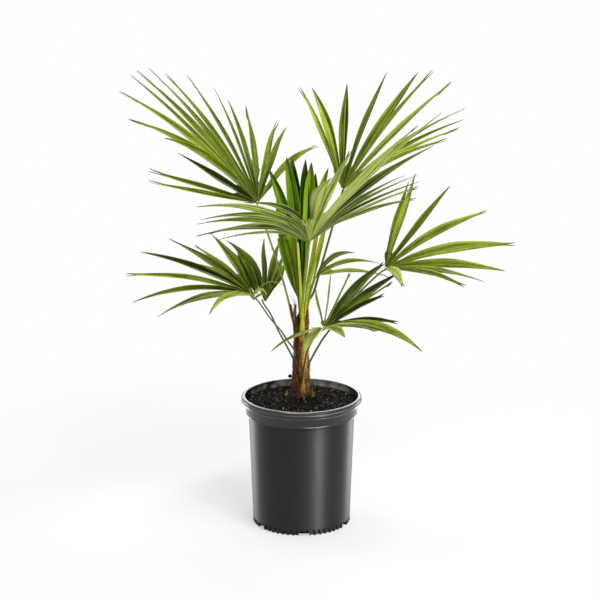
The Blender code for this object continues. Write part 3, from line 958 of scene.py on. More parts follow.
class Mould:
    """A mesh in the making: points, faces and what each corner carries."""

    def __init__(self) -> None:
        """Start with nothing."""
        self.points: list[Vector] = []
        self.faces: list[tuple[int, ...]] = []
        self.segment: list[Point2] = []
        self.tone: list[Point2] = []

    def point(self, place: Vector) -> int:
        """Add a point and give its number."""
        self.points.append(Vector(place))
        return len(self.points) - 1

    def row(self, places: Iterable[Vector]) -> list[int]:
        """Add points and give their numbers."""
        return [self.point(place) for place in places]

    def face(
        self, corners: Sequence[int], tone: Point2 = (0.5, 0.0), segment: Sequence[Point2] = ()
    ) -> None:
        """Add a face.

        Args:
            corners: its points' numbers, in order.
            tone: its shade and seed.
            segment: the across and along values of each corner.
        """
        self.faces.append(tuple(corners))
        self.segment += segment or [(0.0, 0.0)] * len(corners)
        self.tone += [tone] * len(corners)

    def grid(
        self,
        rows: Sequence[Sequence[int]],
        tone: Point2 | Callable[[float, float], Point2] = (0.5, 0.0),
        closed: bool = False,
        across: Sequence[float] = (),
        along: Sequence[float] = (),
    ) -> None:
        """Add the faces between rows of points.

        Args:
            rows: the rows' point numbers.
            tone: the faces' shade and seed, or what gives them for a face's place.
            closed: whether each row's end joins its start.
            across: each column's value, evenly spaced if none is given.
            along: each row's value, likewise.
        """
        width = len(rows[0])
        across = across or shares(width + closed)
        along = along or shares(len(rows))
        for r, (row, beyond) in enumerate(zip(rows, rows[1:])):
            for c in range(width if closed else width - 1):
                d = (c + 1) % width
                u0, u1, v0, v1 = across[c], across[c + 1], along[r], along[r + 1]
                shade = tone(u0, v0) if callable(tone) else tone
                corners = (row[c], row[d], beyond[d], beyond[c])
                self.face(corners, shade, [(u0, v0), (u1, v0), (u1, v1), (u0, v1)])

    def sleeve(self, rows: Sequence[Sequence[int]], tone: Point2) -> None:
        """Add a closed sleeve of faces between rings of points, with a cap at each end.

        Args:
            rows: the rings' point numbers.
            tone: the faces' shade and seed.
        """
        self.grid(rows, tone, closed=True)
        self.face(rows[0][::-1], tone)
        self.face(rows[-1], tone)

    def wheel(self, ring: Sequence[int], middle: Vector, down: bool = False) -> None:
        """Close a ring with faces round a new middle point.

        Args:
            ring: the ring's point numbers.
            middle: the new point.
            down: whether it's seen from below.
        """
        hub = self.point(middle)
        for near, far in zip(ring, [*ring[1:], ring[0]]):
            self.face((far, near, hub) if down else (near, far, hub))

    def tube(self, path: Sequence[Vector], radii: Iterable[float], sides: int, tone: Point2) -> None:
        """Add a capped tube along a path.

        Args:
            path: the points that it follows.
            radii: its radius at each.
            sides: the number of its sides.
            tone: its shade and seed.
        """
        rows = []
        wish = heading(path, 0).orthogonal().normalized()
        for i, (place, radius) in enumerate(zip(path, radii)):
            ahead = heading(path, i)
            wish = squared(ahead, wish)
            other = ahead.cross(wish)
            ring = (wish * math.cos(angle) + other * math.sin(angle) for angle in turn(sides))
            rows.append(self.row(place + out * radius for out in ring))
        self.sleeve(rows, tone)

    def lump(self, place: Vector, size: Vector, rng: random.Random, tone: Point2) -> None:
        """Add a rough lump, such as a crumb or a chip.

        Args:
            place: its middle.
            size: its half lengths.
            rng: where its shape comes from.
            tone: its shade and seed.
        """
        turned = Matrix.Rotation(rng.uniform(0.0, math.tau), 3, UP)
        tilted = Matrix.Rotation(rng.gauss(0.0, 0.5), 3, Vector((1.0, 0.0, 0.0)))
        first = len(self.points)
        for corner in BALL_POINTS:
            worn = corner * rng.uniform(0.72, 1.22)
            self.point(place + turned @ tilted @ (worn * size))
        for corners in BALL_FACES:
            self.face([first + k for k in corners], tone)

    def build(self, name: str, *finishes: Material, soft: bool = True) -> Piece:
        """Make the object.

        Args:
            name: its name.
            *finishes: its materials.
            soft: whether its faces are shaded smooth.

        Returns:
            The object, linked to the scene.
        """
        mesh = bpy.data.meshes.new(name)
        mesh.from_pydata([tuple(p) for p in self.points], [], self.faces)
        for layer, values in (("segment", self.segment), ("tone", self.tone)):
            made = mesh.uv_layers.new(name=layer)
            made.data.foreach_set("uv", [x for pair in values for x in pair])
        mesh.polygons.foreach_set("use_smooth", [soft] * len(self.faces))
        for finish in finishes:
            mesh.materials.append(finish)
        mesh.update()
        made = bpy.data.objects.new(name, mesh)
        bpy.context.scene.collection.objects.link(made)
        return made


def thicken(piece: Piece, thickness: float, under_slot: int = 0) -> None:
    """Give an open sheet its thickness, and its under side its own material.

    Args:
        piece: the sheet.
        thickness: its thickness, half to each side.
        under_slot: how many places further on the under side's material is.
    """
    solid = piece.modifiers.new("thickness", "SOLIDIFY")
    solid.thickness = thickness
    solid.offset = 0.0
    solid.use_even_offset = False
    solid.material_offset = under_slot


def settle(piece: Piece, slot: Slot, *nodes: str) -> None:
    """Join a piece to the frame.

    Args:
        piece: the piece.
        slot: the record's slot that its finish belongs to; not used.
        *nodes: the CAD nodes that it stands for.
    """
    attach(piece, BODY)
    if nodes:
        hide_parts(*nodes)
    LOG.info("%s: %d faces", piece.name, len(piece.data.polygons))


# -------- leaves


class Midrib:
    """One segment's midrib: a line that leaves the hub, sweeps sideways and droops."""

    DROP_REACH = 0.075

    def __init__(self, fan: Fan, index: int) -> None:
        """Read the segment's numbers.

        Args:
            fan: the leaf.
            index: the segment's place in it.
        """
        length, droop, lift, sweep, width, shade = fan.segments[index]
        self.drop = Vector(fan.drop) * MM
        lean = fan.lean[index] * MM if index < len(fan.lean) else 0.0
        self.lean = Vector((lean, 0.0, 0.0))
        self.length = length * MM
        self.droop, self.sweep, self.width, self.shade = (x / 100 for x in (droop, sweep, width, shade))
        self.hub = Vector(fan.hub) * MM
        self.face = fan.axes()[2]
        self.leave = self.way(fan, fan.angles[index], lift)
        self.beside = (self.way(fan, fan.angles[index] + 1.0, lift) - self.leave).normalized()

    @staticmethod
    def way(fan: Fan, angle: float, lift: float) -> Vector:
        """The way that a segment at this angle leaves the hub.

        Args:
            fan: the leaf.
            angle: the segment's angle, in degrees.
            lift: its lift, in degrees.

        Returns:
            The direction.
        """
        along, side, face = fan.axes()
        angle, fold, rise = (math.radians(a) for a in (angle, fan.fold, lift))
        raised = side * math.cos(fold) + face * math.copysign(math.sin(fold), angle)
        level = along * math.cos(angle) + raised * math.sin(angle)
        return (level * math.cos(rise) + face * math.sin(rise)).normalized()

    def point(self, radius: float) -> Vector:
        """The midrib at this distance from the hub.

        Args:
            radius: the distance from the hub.

        Returns:
            The point.
        """
        t = radius / self.length
        bow = self.leave * t - UP * (self.droop * t * t) + self.beside * (self.sweep * t * (1 - t))
        near = max(0.0, 1.0 - radius / self.DROP_REACH)
        return self.hub + bow * self.length + self.drop * near**1.5 + self.lean * (4 * t * (1 - t))

    def square(self, radius: float) -> tuple[Vector, Vector]:
        """Across and up, square to the midrib at this distance.

        Args:
            radius: the distance from the hub.

        Returns:
            The two directions.
        """
        t = radius / self.length
        ahead = self.leave - UP * (2 * self.droop * t) + self.beside * (self.sweep * (1 - 2 * t))
        ahead.normalize()
        across = squared(ahead, self.beside)
        up = across.cross(ahead).normalized()
        return across, (up if up.dot(self.face) > 0 else -up)


@dataclass(frozen=True)
class Growth:
    """What sets one free segment apart, in metres and radians.

    split is where it comes free of its neighbours, and out is 1 or -1 for which side its across
    points to. width scales it, and twist, curl and wave bend it more and more towards its tip. phase
    is where the wave starts, and forked says whether the tip has two tines.
    """

    split: float
    out: float
    width: float
    twist: float
    curl: float
    wave: float
    phase: float
    forked: bool


@dataclass
class FanLeaf:
    """A palm leaf: a pleated fan blade cut into narrow folded segments.

    upper and under are the materials of its sides. Between inner_radius and each split the segments
    are joined, with fused_stations sections, and beyond it they are free, with free_stations. pleat
    is how steep the folds are, and columns places the points across a segment.
    """

    fan: Fan
    upper: Material
    under: Material
    inner_radius: float = 0.0045
    thickness: float = 0.0005
    pleat: float = 1.20
    fused_stations: int = 9
    free_stations: int = 22
    columns: tuple[float, ...] = (-1.0, -0.62, -0.22, 0.0, 0.22, 0.62, 1.0)
    fork_half: float = 0.0027
    variety: float = 0.03
    rng: random.Random = field(init=False)
    ribs: list[Midrib] = field(init=False)

    def __post_init__(self) -> None:
        """Lay out the midribs."""
        self.rng = random.Random("leaf " + self.fan.name)
        self.ribs = [Midrib(self.fan, i) for i in range(len(self.fan.segments))]

    def radii(self, split: float) -> list[float]:
        """The distances of the cross-sections from the hub to a split."""
        steps = range(self.fused_stations + 1)
        return [self.inner_radius + (split - self.inner_radius) * k / self.fused_stations for k in steps]

    def rise(self, radius: float) -> float:
        """How far a fold stands off the sheet's middle, over its half width."""
        return self.pleat / 2 * smoothstep(self.inner_radius, self.inner_radius + 0.022, radius)

    def ridge(self, index: int, radius: float) -> Vector:
        """The fold that segments index - 1 and index share, or the blade's outer edge.

        Args:
            index: the ridge's place in the leaf.
            radius: the distance from the hub.

        Returns:
            The ridge's point.
        """
        ribs = self.ribs
        near = ribs[max(index - 1, 0)]
        far = ribs[min(index, len(ribs) - 1)]
        if near is not far:
            half = (near.point(radius) - far.point(radius)).length / 2
            up = (near.square(radius)[1] + far.square(radius)[1]).normalized()
            return (near.point(radius) + far.point(radius)) / 2 + up * half * self.rise(radius)
        inner = ribs[1] if index == 0 else ribs[-2]
        outward = near.point(radius) - inner.point(radius)
        across, up = near.square(radius)
        if across.dot(outward) < 0:
            across = -across
        half = outward.length / 2
        return near.point(radius) + across * half + up * half * self.rise(radius)

    def near(self, *indices: int) -> list[Midrib]:
        """The midribs at those of these places that the leaf has."""
        return [self.ribs[k] for k in indices if 0 <= k < len(self.ribs)]

    def valley(self, index: int, radius: float) -> Vector:
        """The fold along a segment's midrib where it is joined to its neighbours.

        Args:
            index: the segment's place in the leaf.
            radius: the distance from the hub.

        Returns:
            The valley's point.
        """
        middle = self.ribs[index].point(radius)
        near = self.near(index - 1, index + 1)
        half = sum((middle - rib.point(radius)).length for rib in near) / len(near) / 2
        return middle - self.ribs[index].square(radius)[1] * half * self.rise(radius)

    def splits(self) -> list[float]:
        """How far from the hub each ridge stays whole.

        Returns:
            The distances, ridge by ridge.
        """
        found = []
        for i in range(len(self.ribs) + 1):
            near = self.near(i - 1, i)
            whole = self.fan.split_r * MM * self.fan.joined * self.rng.uniform(0.88, 1.12)
            whole *= min(1.0, 1.1 * min(rib.width for rib in near))
            found.append(min(whole, 0.6 * min(rib.length for rib in near)))
        return found

    def room(self, index: int, radius: float) -> float:
        """Half the space between a segment and its nearer neighbour at this distance.

        Args:
            index: the segment's place in the leaf.
            radius: the distance from the hub.

        Returns:
            The half width that fits.
        """
        here = self.ribs[index].point(radius)
        near = [rib for rib in self.near(index - 1, index + 1) if radius < rib.length]
        return min([1.0, *((here - rib.point(radius)).length / 2 for rib in near)])

    def taper(self, t: float) -> float:
        """A free segment's width along its length, as a share of its widest.

        Args:
            t: how far along the segment, from 0 to 1.

        Returns:
            The share.
        """
        if t < 0.55:
            return blend(0.60, 1.0, smoothstep(0.08, 0.55, t))
        return max(1.0 - ((t - 0.55) / 0.45) ** self.fan.blunt, 0.0) * 0.96 + 0.04

    @staticmethod
    def fold(column: float, half: float, slope: float) -> Point2:
        """A column's way across and up on a folded segment of this half width and slope."""
        bulge = 0.10 * half * (1.0 - (2.0 * abs(column) - 1.0) ** 2)
        return column * half, half * slope * (abs(column) - 0.5) + bulge

    @staticmethod
    def tine(column: float, half: float, slope: float, share: float) -> Point2:
        """A column's way across and up on one tine of a forked tip.

        Args:
            column: the column, from -1 to 1.
            half: the half width where the fork begins.
            slope: how steep the fold is.
            share: how far along the fork, from 0 to 1.

        Returns:
            How far across and up.
        """
        width = half * 0.45 * (1.0 - 0.80 * share**2.0)
        offset = half * 0.55 + 0.0012 * share + width * ((abs(column) - 0.61) / 0.39)
        return math.copysign(offset, column), slope * (offset - 0.5 * half) * 0.7

    def free_row(self, mould: Mould, rib: Midrib, index: int, radius: float, grown: Growth) -> list[int]:
        """Add one cross-section of a free segment.

        Args:
            mould: the mesh in the making.
            rib: the segment's midrib.
            index: its place in the leaf.
            radius: the section's distance from the hub.
            grown: what sets the segment apart.

        Returns:
            The section's point numbers.
        """
        t = radius / rib.length
        u = (radius - grown.split) / (rib.length - grown.split)
        fork_at = 1.0 - self.fan.fork_part
        in_fork = grown.forked and t > fork_at
        half = self.fan.half_width * MM * grown.width * self.taper(fork_at if in_fork else t)
        if grown.forked:
            half = max(half, self.fork_half)
        cover = self.fan.crowd * blend(0.96, 1.5, smoothstep(0.2, 0.8, u))
        half = min(half, self.room(index, radius) * cover)
        flat, above = rib.square(radius)
        flat = flat * grown.out
        twist = grown.twist * u * u
        across = flat * math.cos(twist) + above * math.sin(twist)
        up = above * math.cos(twist) - flat * math.sin(twist)
        slope = self.pleat * blend(1.0, 0.45, smoothstep(0.10, 0.95, u))
        wave = grown.wave * math.sin(grown.phase + u * 7.0) * smoothstep(0.0, 0.3, u)
        middle = rib.point(radius) + across * wave + up * (grown.curl * u**3)
        places = []
        for column in self.columns:
            x, y = self.fold(column, half, slope)
            if in_fork:
                x, y = self.tine(column, half, slope, (t - fork_at) / (1.0 - fork_at))
            places.append(middle + across * x + up * y)
        if in_fork:
            places[len(places) // 2] = rib.point(fork_at * rib.length) - up * (half * slope * 0.5)
        return mould.row(places)

    def fused_rows(
        self, mould: Mould, index: int, edges: Iterable[tuple[int, int]], split: float
    ) -> list[list[int]]:
        """Add the cross-sections of a segment where it is joined to its neighbours.

        Args:
            mould: the mesh in the making.
            index: the segment's place.
            edges: the point numbers of the two ridges beside it, section by section.
            split: where the segment comes free.

        Returns:
            The rows' point numbers.
        """
        rows = []
        for (low, high), radius in zip(edges, self.radii(split)):
            valley = self.valley(index, radius)
            inner = self.columns[1:-1]
            ends = (mould.points[low if place < 0 else high] for place in inner)
            places = [valley.lerp(end, abs(place)) for place, end in zip(inner, ends)]
            rows.append([low, *mould.row(places), high])
        return rows

    def segment(self, mould: Mould, index: int, split: float, rows: list[list[int]]) -> None:
        """Add a segment.

        Args:
            mould: the mesh in the making.
            index: the segment's place.
            split: where it comes free.
            rows: the cross-sections of its joined part.
        """
        rib, rng = self.ribs[index], self.rng
        over = mould.points[rows[-1][-1]] - mould.points[rows[-1][0]]
        grown = Growth(
            split=split,
            out=1.0 if rib.square(split)[0].dot(over) > 0 else -1.0,
            width=rib.width * rng.uniform(0.90, 1.10),
            twist=rng.uniform(-0.55, 0.55),
            curl=rng.uniform(-0.004, 0.004),
            wave=rng.uniform(0.0002, 0.0009),
            phase=rng.uniform(0.0, math.tau),
            forked=rng.random() < self.fan.fork,
        )
        free = [blend(split, rib.length, k) for k in shares(self.free_stations + 1)[1:]]
        rows = rows + [self.free_row(mould, rib, index, radius, grown) for radius in free]
        along = [radius / rib.length for radius in self.radii(split) + free]
        across = [(place + 1.0) / 2.0 for place in self.columns]
        # the leaf's tone and the segment's shade hold painted light and painted shade besides the leaf's own
        # tone
        shade = 0.5 + self.fan.tone.value + rng.uniform(-self.variety, self.variety) + rib.shade
        mould.grid(rows, (shade, rng.uniform(0.0, 40.0)), across=across, along=along)

    def blade(self) -> Mould:
        """The blade's sheet, its faces turned to the leaf's upper side.

        Returns:
            The mesh in the making.
        """
        mould = Mould()
        splits = self.splits()
        ridges = [
            mould.row(self.ridge(i, radius) for radius in self.radii(split))
            for i, split in enumerate(splits)
        ]
        for i in range(len(self.ribs)):
            split = (splits[i] + splits[i + 1]) / 2
            edges = zip(ridges[i], ridges[i + 1])
            self.segment(mould, i, split, self.fused_rows(mould, i, edges, split))
        self.turn_up(mould)
        return mould

    def turn_up(self, mould: Mould) -> None:
        """Turn every face to the leaf's upper side if they lie the other way.

        Args:
            mould: the mesh in the making.
        """
        a, b, c = (mould.points[k] for k in mould.faces[len(mould.faces) // 2][:3])
        if (b - a).cross(c - a).dot(self.fan.axes()[2]) >= 0:
            return
        start = 0
        for k, corners in enumerate(mould.faces):
            end = start + len(corners)
            mould.faces[k] = corners[::-1]
            mould.segment[start:end] = mould.segment[start:end][::-1]
            start = end

    def build(self) -> None:
        """Make the blade's piece."""
        piece = self.blade().build("leaf_" + self.fan.name, self.upper, self.under)
        thicken(piece, self.thickness, under_slot=1)
        settle(piece, Slot.LEAF, "blade_" + self.fan.name)


@dataclass
class Stalk:
    """A leaf stalk: flat above and rounded below, and at its foot a strap that clasps the stem.

    Where the hub is drawn lower than deep_drop, in mm, the route's last point is left out.
    """

    fan: Fan
    finish: Material
    middle_half: float = 0.0029
    tip_half: float = 0.0023
    foot_thick: float = 0.0011
    thick: float = 0.0018
    stations: int = 46
    sides: int = 14
    teeth: int = 26
    clasp_radius: float = 0.0165
    deep_drop: float = -10.0

    def route(self) -> list[Vector]:
        """The stalk's way from low on the stem to under its blade.

        Returns:
            The points of its middle line.
        """
        fan = self.fan
        along, _, face = fan.axes()
        points = in_metres(fan.route)
        start = points[0]
        out = start - STEM_AXIS
        angle = math.atan2(out.y, out.x)
        run = fan.foot.run_down
        low = [stem_point(angle, start.z - run * k, 0.0010 + 0.0006 * (1 - k)) for k in (1.0, 0.5)]
        under = (Vector(fan.hub) + Vector(fan.drop) - face * (fan.seat - 0.4)) * MM
        if fan.drop[2] < self.deep_drop:
            return [*low, *points[:-1], under, under + along * 0.006]
        return [*low, *points, under - along * 0.001, under + along * 0.010]

    def section(self, t: float) -> Point2:
        """The half width and half thickness at this share of the stalk's length.

        Args:
            t: how far along the stalk, from 0 to 1.

        Returns:
            The two half sizes.
        """
        half, middle, tip = self.fan.foot.half, self.middle_half, self.tip_half
        width = ((0.0, 0.0009), (0.05, half * 0.55), (0.16, half), (0.34, middle * 1.1))
        width += ((0.50, middle), (0.94, tip), (1.0, tip * 1.3))
        depth = ((0.0, 0.0004), (0.14, self.foot_thick), (0.32, self.thick), (0.93, self.thick * 0.86))
        return interpolate(width, t), interpolate((*depth, (1.0, 0.0008)), t)

    def outline(self, half: float, depth: float, clasp: float) -> Iterable[Point2]:
        """The outline of a cross-section.

        Args:
            half: the half width.
            depth: the half thickness.
            clasp: how far it clasps the stem, from 0 to 1.

        Returns:
            How far to the side and to the top each point lies.
        """
        for angle in turn(self.sides):
            x = half * math.cos(angle)
            flat = 0.55 if math.sin(angle) > 0 else 1.15
            y = depth * math.sin(angle) * flat
            y += clasp * x * x / (2 * self.clasp_radius)
            yield x, y

    def build(self) -> None:
        """Make the stalk's piece."""
        rng = random.Random("stalk " + self.fan.name)
        face = self.fan.axes()[2]
        path = catmull(self.route(), self.stations)
        mould = Mould()
        rows = []
        sides = []
        for i, (place, t) in enumerate(zip(path, shares(self.stations))):
            ahead = heading(path, i)
            out = place - STEM_AXIS
            out.z = 0.0
            clasp = 1.0 - smoothstep(0.12, 0.34, t)
            top = squared(ahead, out.normalized() * -1.0 * clasp + face * (1.0 - clasp))
            side = ahead.cross(top)
            half, depth = self.section(t)
            rows.append(mould.row(place + side * x + top * y for x, y in self.outline(half, depth, clasp)))
            sides.append((place, side, ahead, half))
        tone = (0.5 + rng.uniform(-0.08, 0.08), rng.uniform(0.0, 40.0))
        mould.sleeve(rows, tone)
        self.add_teeth(mould, sides, rng, tone)
        piece = mould.build("stalk_" + self.fan.name, self.finish)
        settle(piece, Slot.STALK, "petiole_" + self.fan.name)

    def add_teeth(
        self,
        mould: Mould,
        sides: Sequence[tuple[Vector, Vector, Vector, float]],
        rng: random.Random,
        tone: Point2,
    ) -> None:
        """Set small teeth along both edges.

        Args:
            mould: the mesh in the making.
            sides: the stalk's middle, its side, the way ahead and its half width, station by station.
            rng: where the teeth's variation comes from.
            tone: their shade and seed.
        """
        for k in range(self.teeth):
            t = blend(0.30, 0.92, (k + rng.random() * 0.6) / self.teeth)
            middle, side, ahead, half = sides[int(t * (self.stations - 1))]
            for sign in (-1.0, 1.0):
                root = middle + side * (sign * half * 0.93)
                tip = root + side * (sign * rng.uniform(0.0006, 0.0011)) + ahead * 0.0005
                mould.tube([root, tip], [0.00042, 0.00006], 3, tone)


@dataclass
class Strip:
    """A narrow strip: a young stalk at the crown, a folded strip at a hub or a short segment.

    route is in mm, and widths are (share of the length, half width in mm) points.
    """

    name: str
    route: tuple[Point3, ...]
    widths: tuple[Point2, ...]
    tone: float
    slot: Slot = Slot.STALK
    thick: float = 0.0012
    stations: int = 34
    sides: int = 12

    def build(self, finish: Material) -> None:
        """Make the strip's piece, hollow towards the front.

        Args:
            finish: its material.
        """
        path = catmull(in_metres(self.route), self.stations)
        mould = Mould()
        rows = []
        for i, (place, t) in enumerate(zip(path, shares(self.stations))):
            ahead = heading(path, i)
            top = squared(ahead, Vector((0.0, -1.0, 0.0)))
            side = ahead.cross(top)
            half = interpolate(self.widths, t) * MM
            depth = min(self.thick, half * 0.8)
            ring = []
            for angle in turn(self.sides):
                up = depth * math.sin(angle) - 0.35 * half * (math.cos(angle) ** 2)
                ring.append(place + side * (half * math.cos(angle)) + top * up)
            rows.append(mould.row(ring))
        mould.sleeve(rows, (self.tone, 3.0))
        settle(mould.build(self.name, finish), self.slot)


CROWN_STRIPS = (
    Strip(
        "crown_strip_pale",
        ((-1.6, 20.2, 408), (-1.3, 20, 443), (-2, 20, 473), (-4, 20, 503), (-5.9, 20, 533), (-7.6, 20, 558)),
        ((0, 2.2), (0.3, 2.8), (0.8, 2.6), (0.96, 2.2), (1, 0.9)),
        0.92,
    ),
    Strip(
        "crown_strip_bright",
        (
            (6, 20, 408), (9.6, 21, 442), (14.4, 23, 472), (22.1, 24, 502), (29.4, 22, 532), (38.5, 18, 570),
            (43, 16, 594),
        ),
        ((0, 1.6), (0.2, 3.2), (0.4, 3), (0.8, 3), (1, 2.4)),
        0.62,
    ),
    Strip(
        "crown_strip_broad",
        (
            (4.5, 30, 408), (8.7, 31, 440), (12.5, 31, 474), (18.3, 31, 510), (24, 31, 540), (29.5, 31, 576),
            (33, 31, 598),
        ),
        ((0, 2.2), (0.3, 3.2), (0.7, 4.2), (1, 4.6)),
        0.50,
    ),
    Strip(
        "crown_strip_edge",
        (
            (9, 29, 405), (14, 27, 435), (19.3, 27, 465), (27.9, 27, 501), (34.6, 27, 531), (41, 27, 562),
            (46, 27, 590),
        ),
        ((0, 1.4), (0.3, 1.8), (0.7, 2.4), (1, 2.8)),
        0.34,
    ),
    Strip(
        "crown_strip_inner",
        ((-1, 28, 410), (-4, 27, 452), (-8.8, 27, 492), (-12.7, 27, 531), (-16, 27, 574)),
        ((0, 2), (0.3, 2.8), (0.7, 3.6), (1, 3.8)),
        0.05,
    ),
    Strip(
        "crown_strip_outer",
        ((-4, 30, 416), (-6.5, 30, 449), (-12.5, 31, 477), (-18, 32, 505), (-27, 33, 536), (-34, 34, 566)),
        ((0, 1.6), (0.3, 3), (0.7, 3.6), (1, 3.2)),
        0.10,
    ),
)
FOLDED_STRIPS = (
    Strip(
        "fold_strip_left",
        ((-91, -60, 464), (-96, -61.5, 473), (-98.5, -62.5, 482), (-95, -63, 489)),
        ((0, 0.8), (0.3, 2.2), (0.7, 3), (1, 1)),
        0.45,
    ),
    Strip(
        "fold_strip_middle",
        ((-92, -60, 465), (-90, -63, 477), (-82, -64, 485), (-73, -64, 484), (-66, -62, 475)),
        ((0, 0.8), (0.3, 2.6), (0.7, 3.4), (1, 0.8)),
        0.62,
    ),
    Strip(
        "fold_strip_right",
        ((-91, -59, 464), (-84, -62, 472), (-76, -63.5, 476), (-69, -63, 472)),
        ((0, 0.8), (0.4, 2.6), (1, 0.7)),
        0.25,
    ),
    Strip(
        "arched_strip",
        (
            (-91, -58, 465), (-86.5, -58, 481), (-75.1, -58, 492), (-58, -58, 499.5), (-44.7, -58, 497),
            (-33.3, -58, 493),
        ),
        ((0, 0.7), (0.3, 1.1), (0.8, 0.8), (1, 0.3)),
        0.40,
    ),
)
SHORT_SEGMENT = Strip(
    "leaf_short_segment",
    ((-86, -50, 474), (-90, -47, 491), (-98.5, -42, 512), (-110.5, -36, 532), (-122, -30, 550)),
    ((0, 2.4), (0.25, 7.5), (0.55, 8.5), (0.85, 5), (1, 0.5)),
    0.38,
    slot=Slot.LEAF,
)


# -------- stem


def fibre_path(
    rng: random.Random, angle: float, foot: float, length: float, drift: float, stand: float
) -> list[Vector]:
    """The points that a loose fibre follows up the stem.

    Args:
        rng: where its small waves come from.
        angle: its bearing at its foot, in radians.
        foot: the height that it starts at.
        length: how long it is.
        drift: how far it turns round the stem.
        stand: how far its tip stands off.

    Returns:
        The points.
    """
    points = []
    for t in shares(7):
        wave = rng.gauss(0.0, 0.03) * t
        points.append(stem_point(angle + drift * t + wave, foot + length * t, 0.0010 + stand * t * t))
    return points


def thinning(radius: float, loss: float, count: int = 7) -> list[float]:
    """Radii that lose this share of the first at each step."""
    return [radius * (1.0 - loss * k) for k in range(count)]


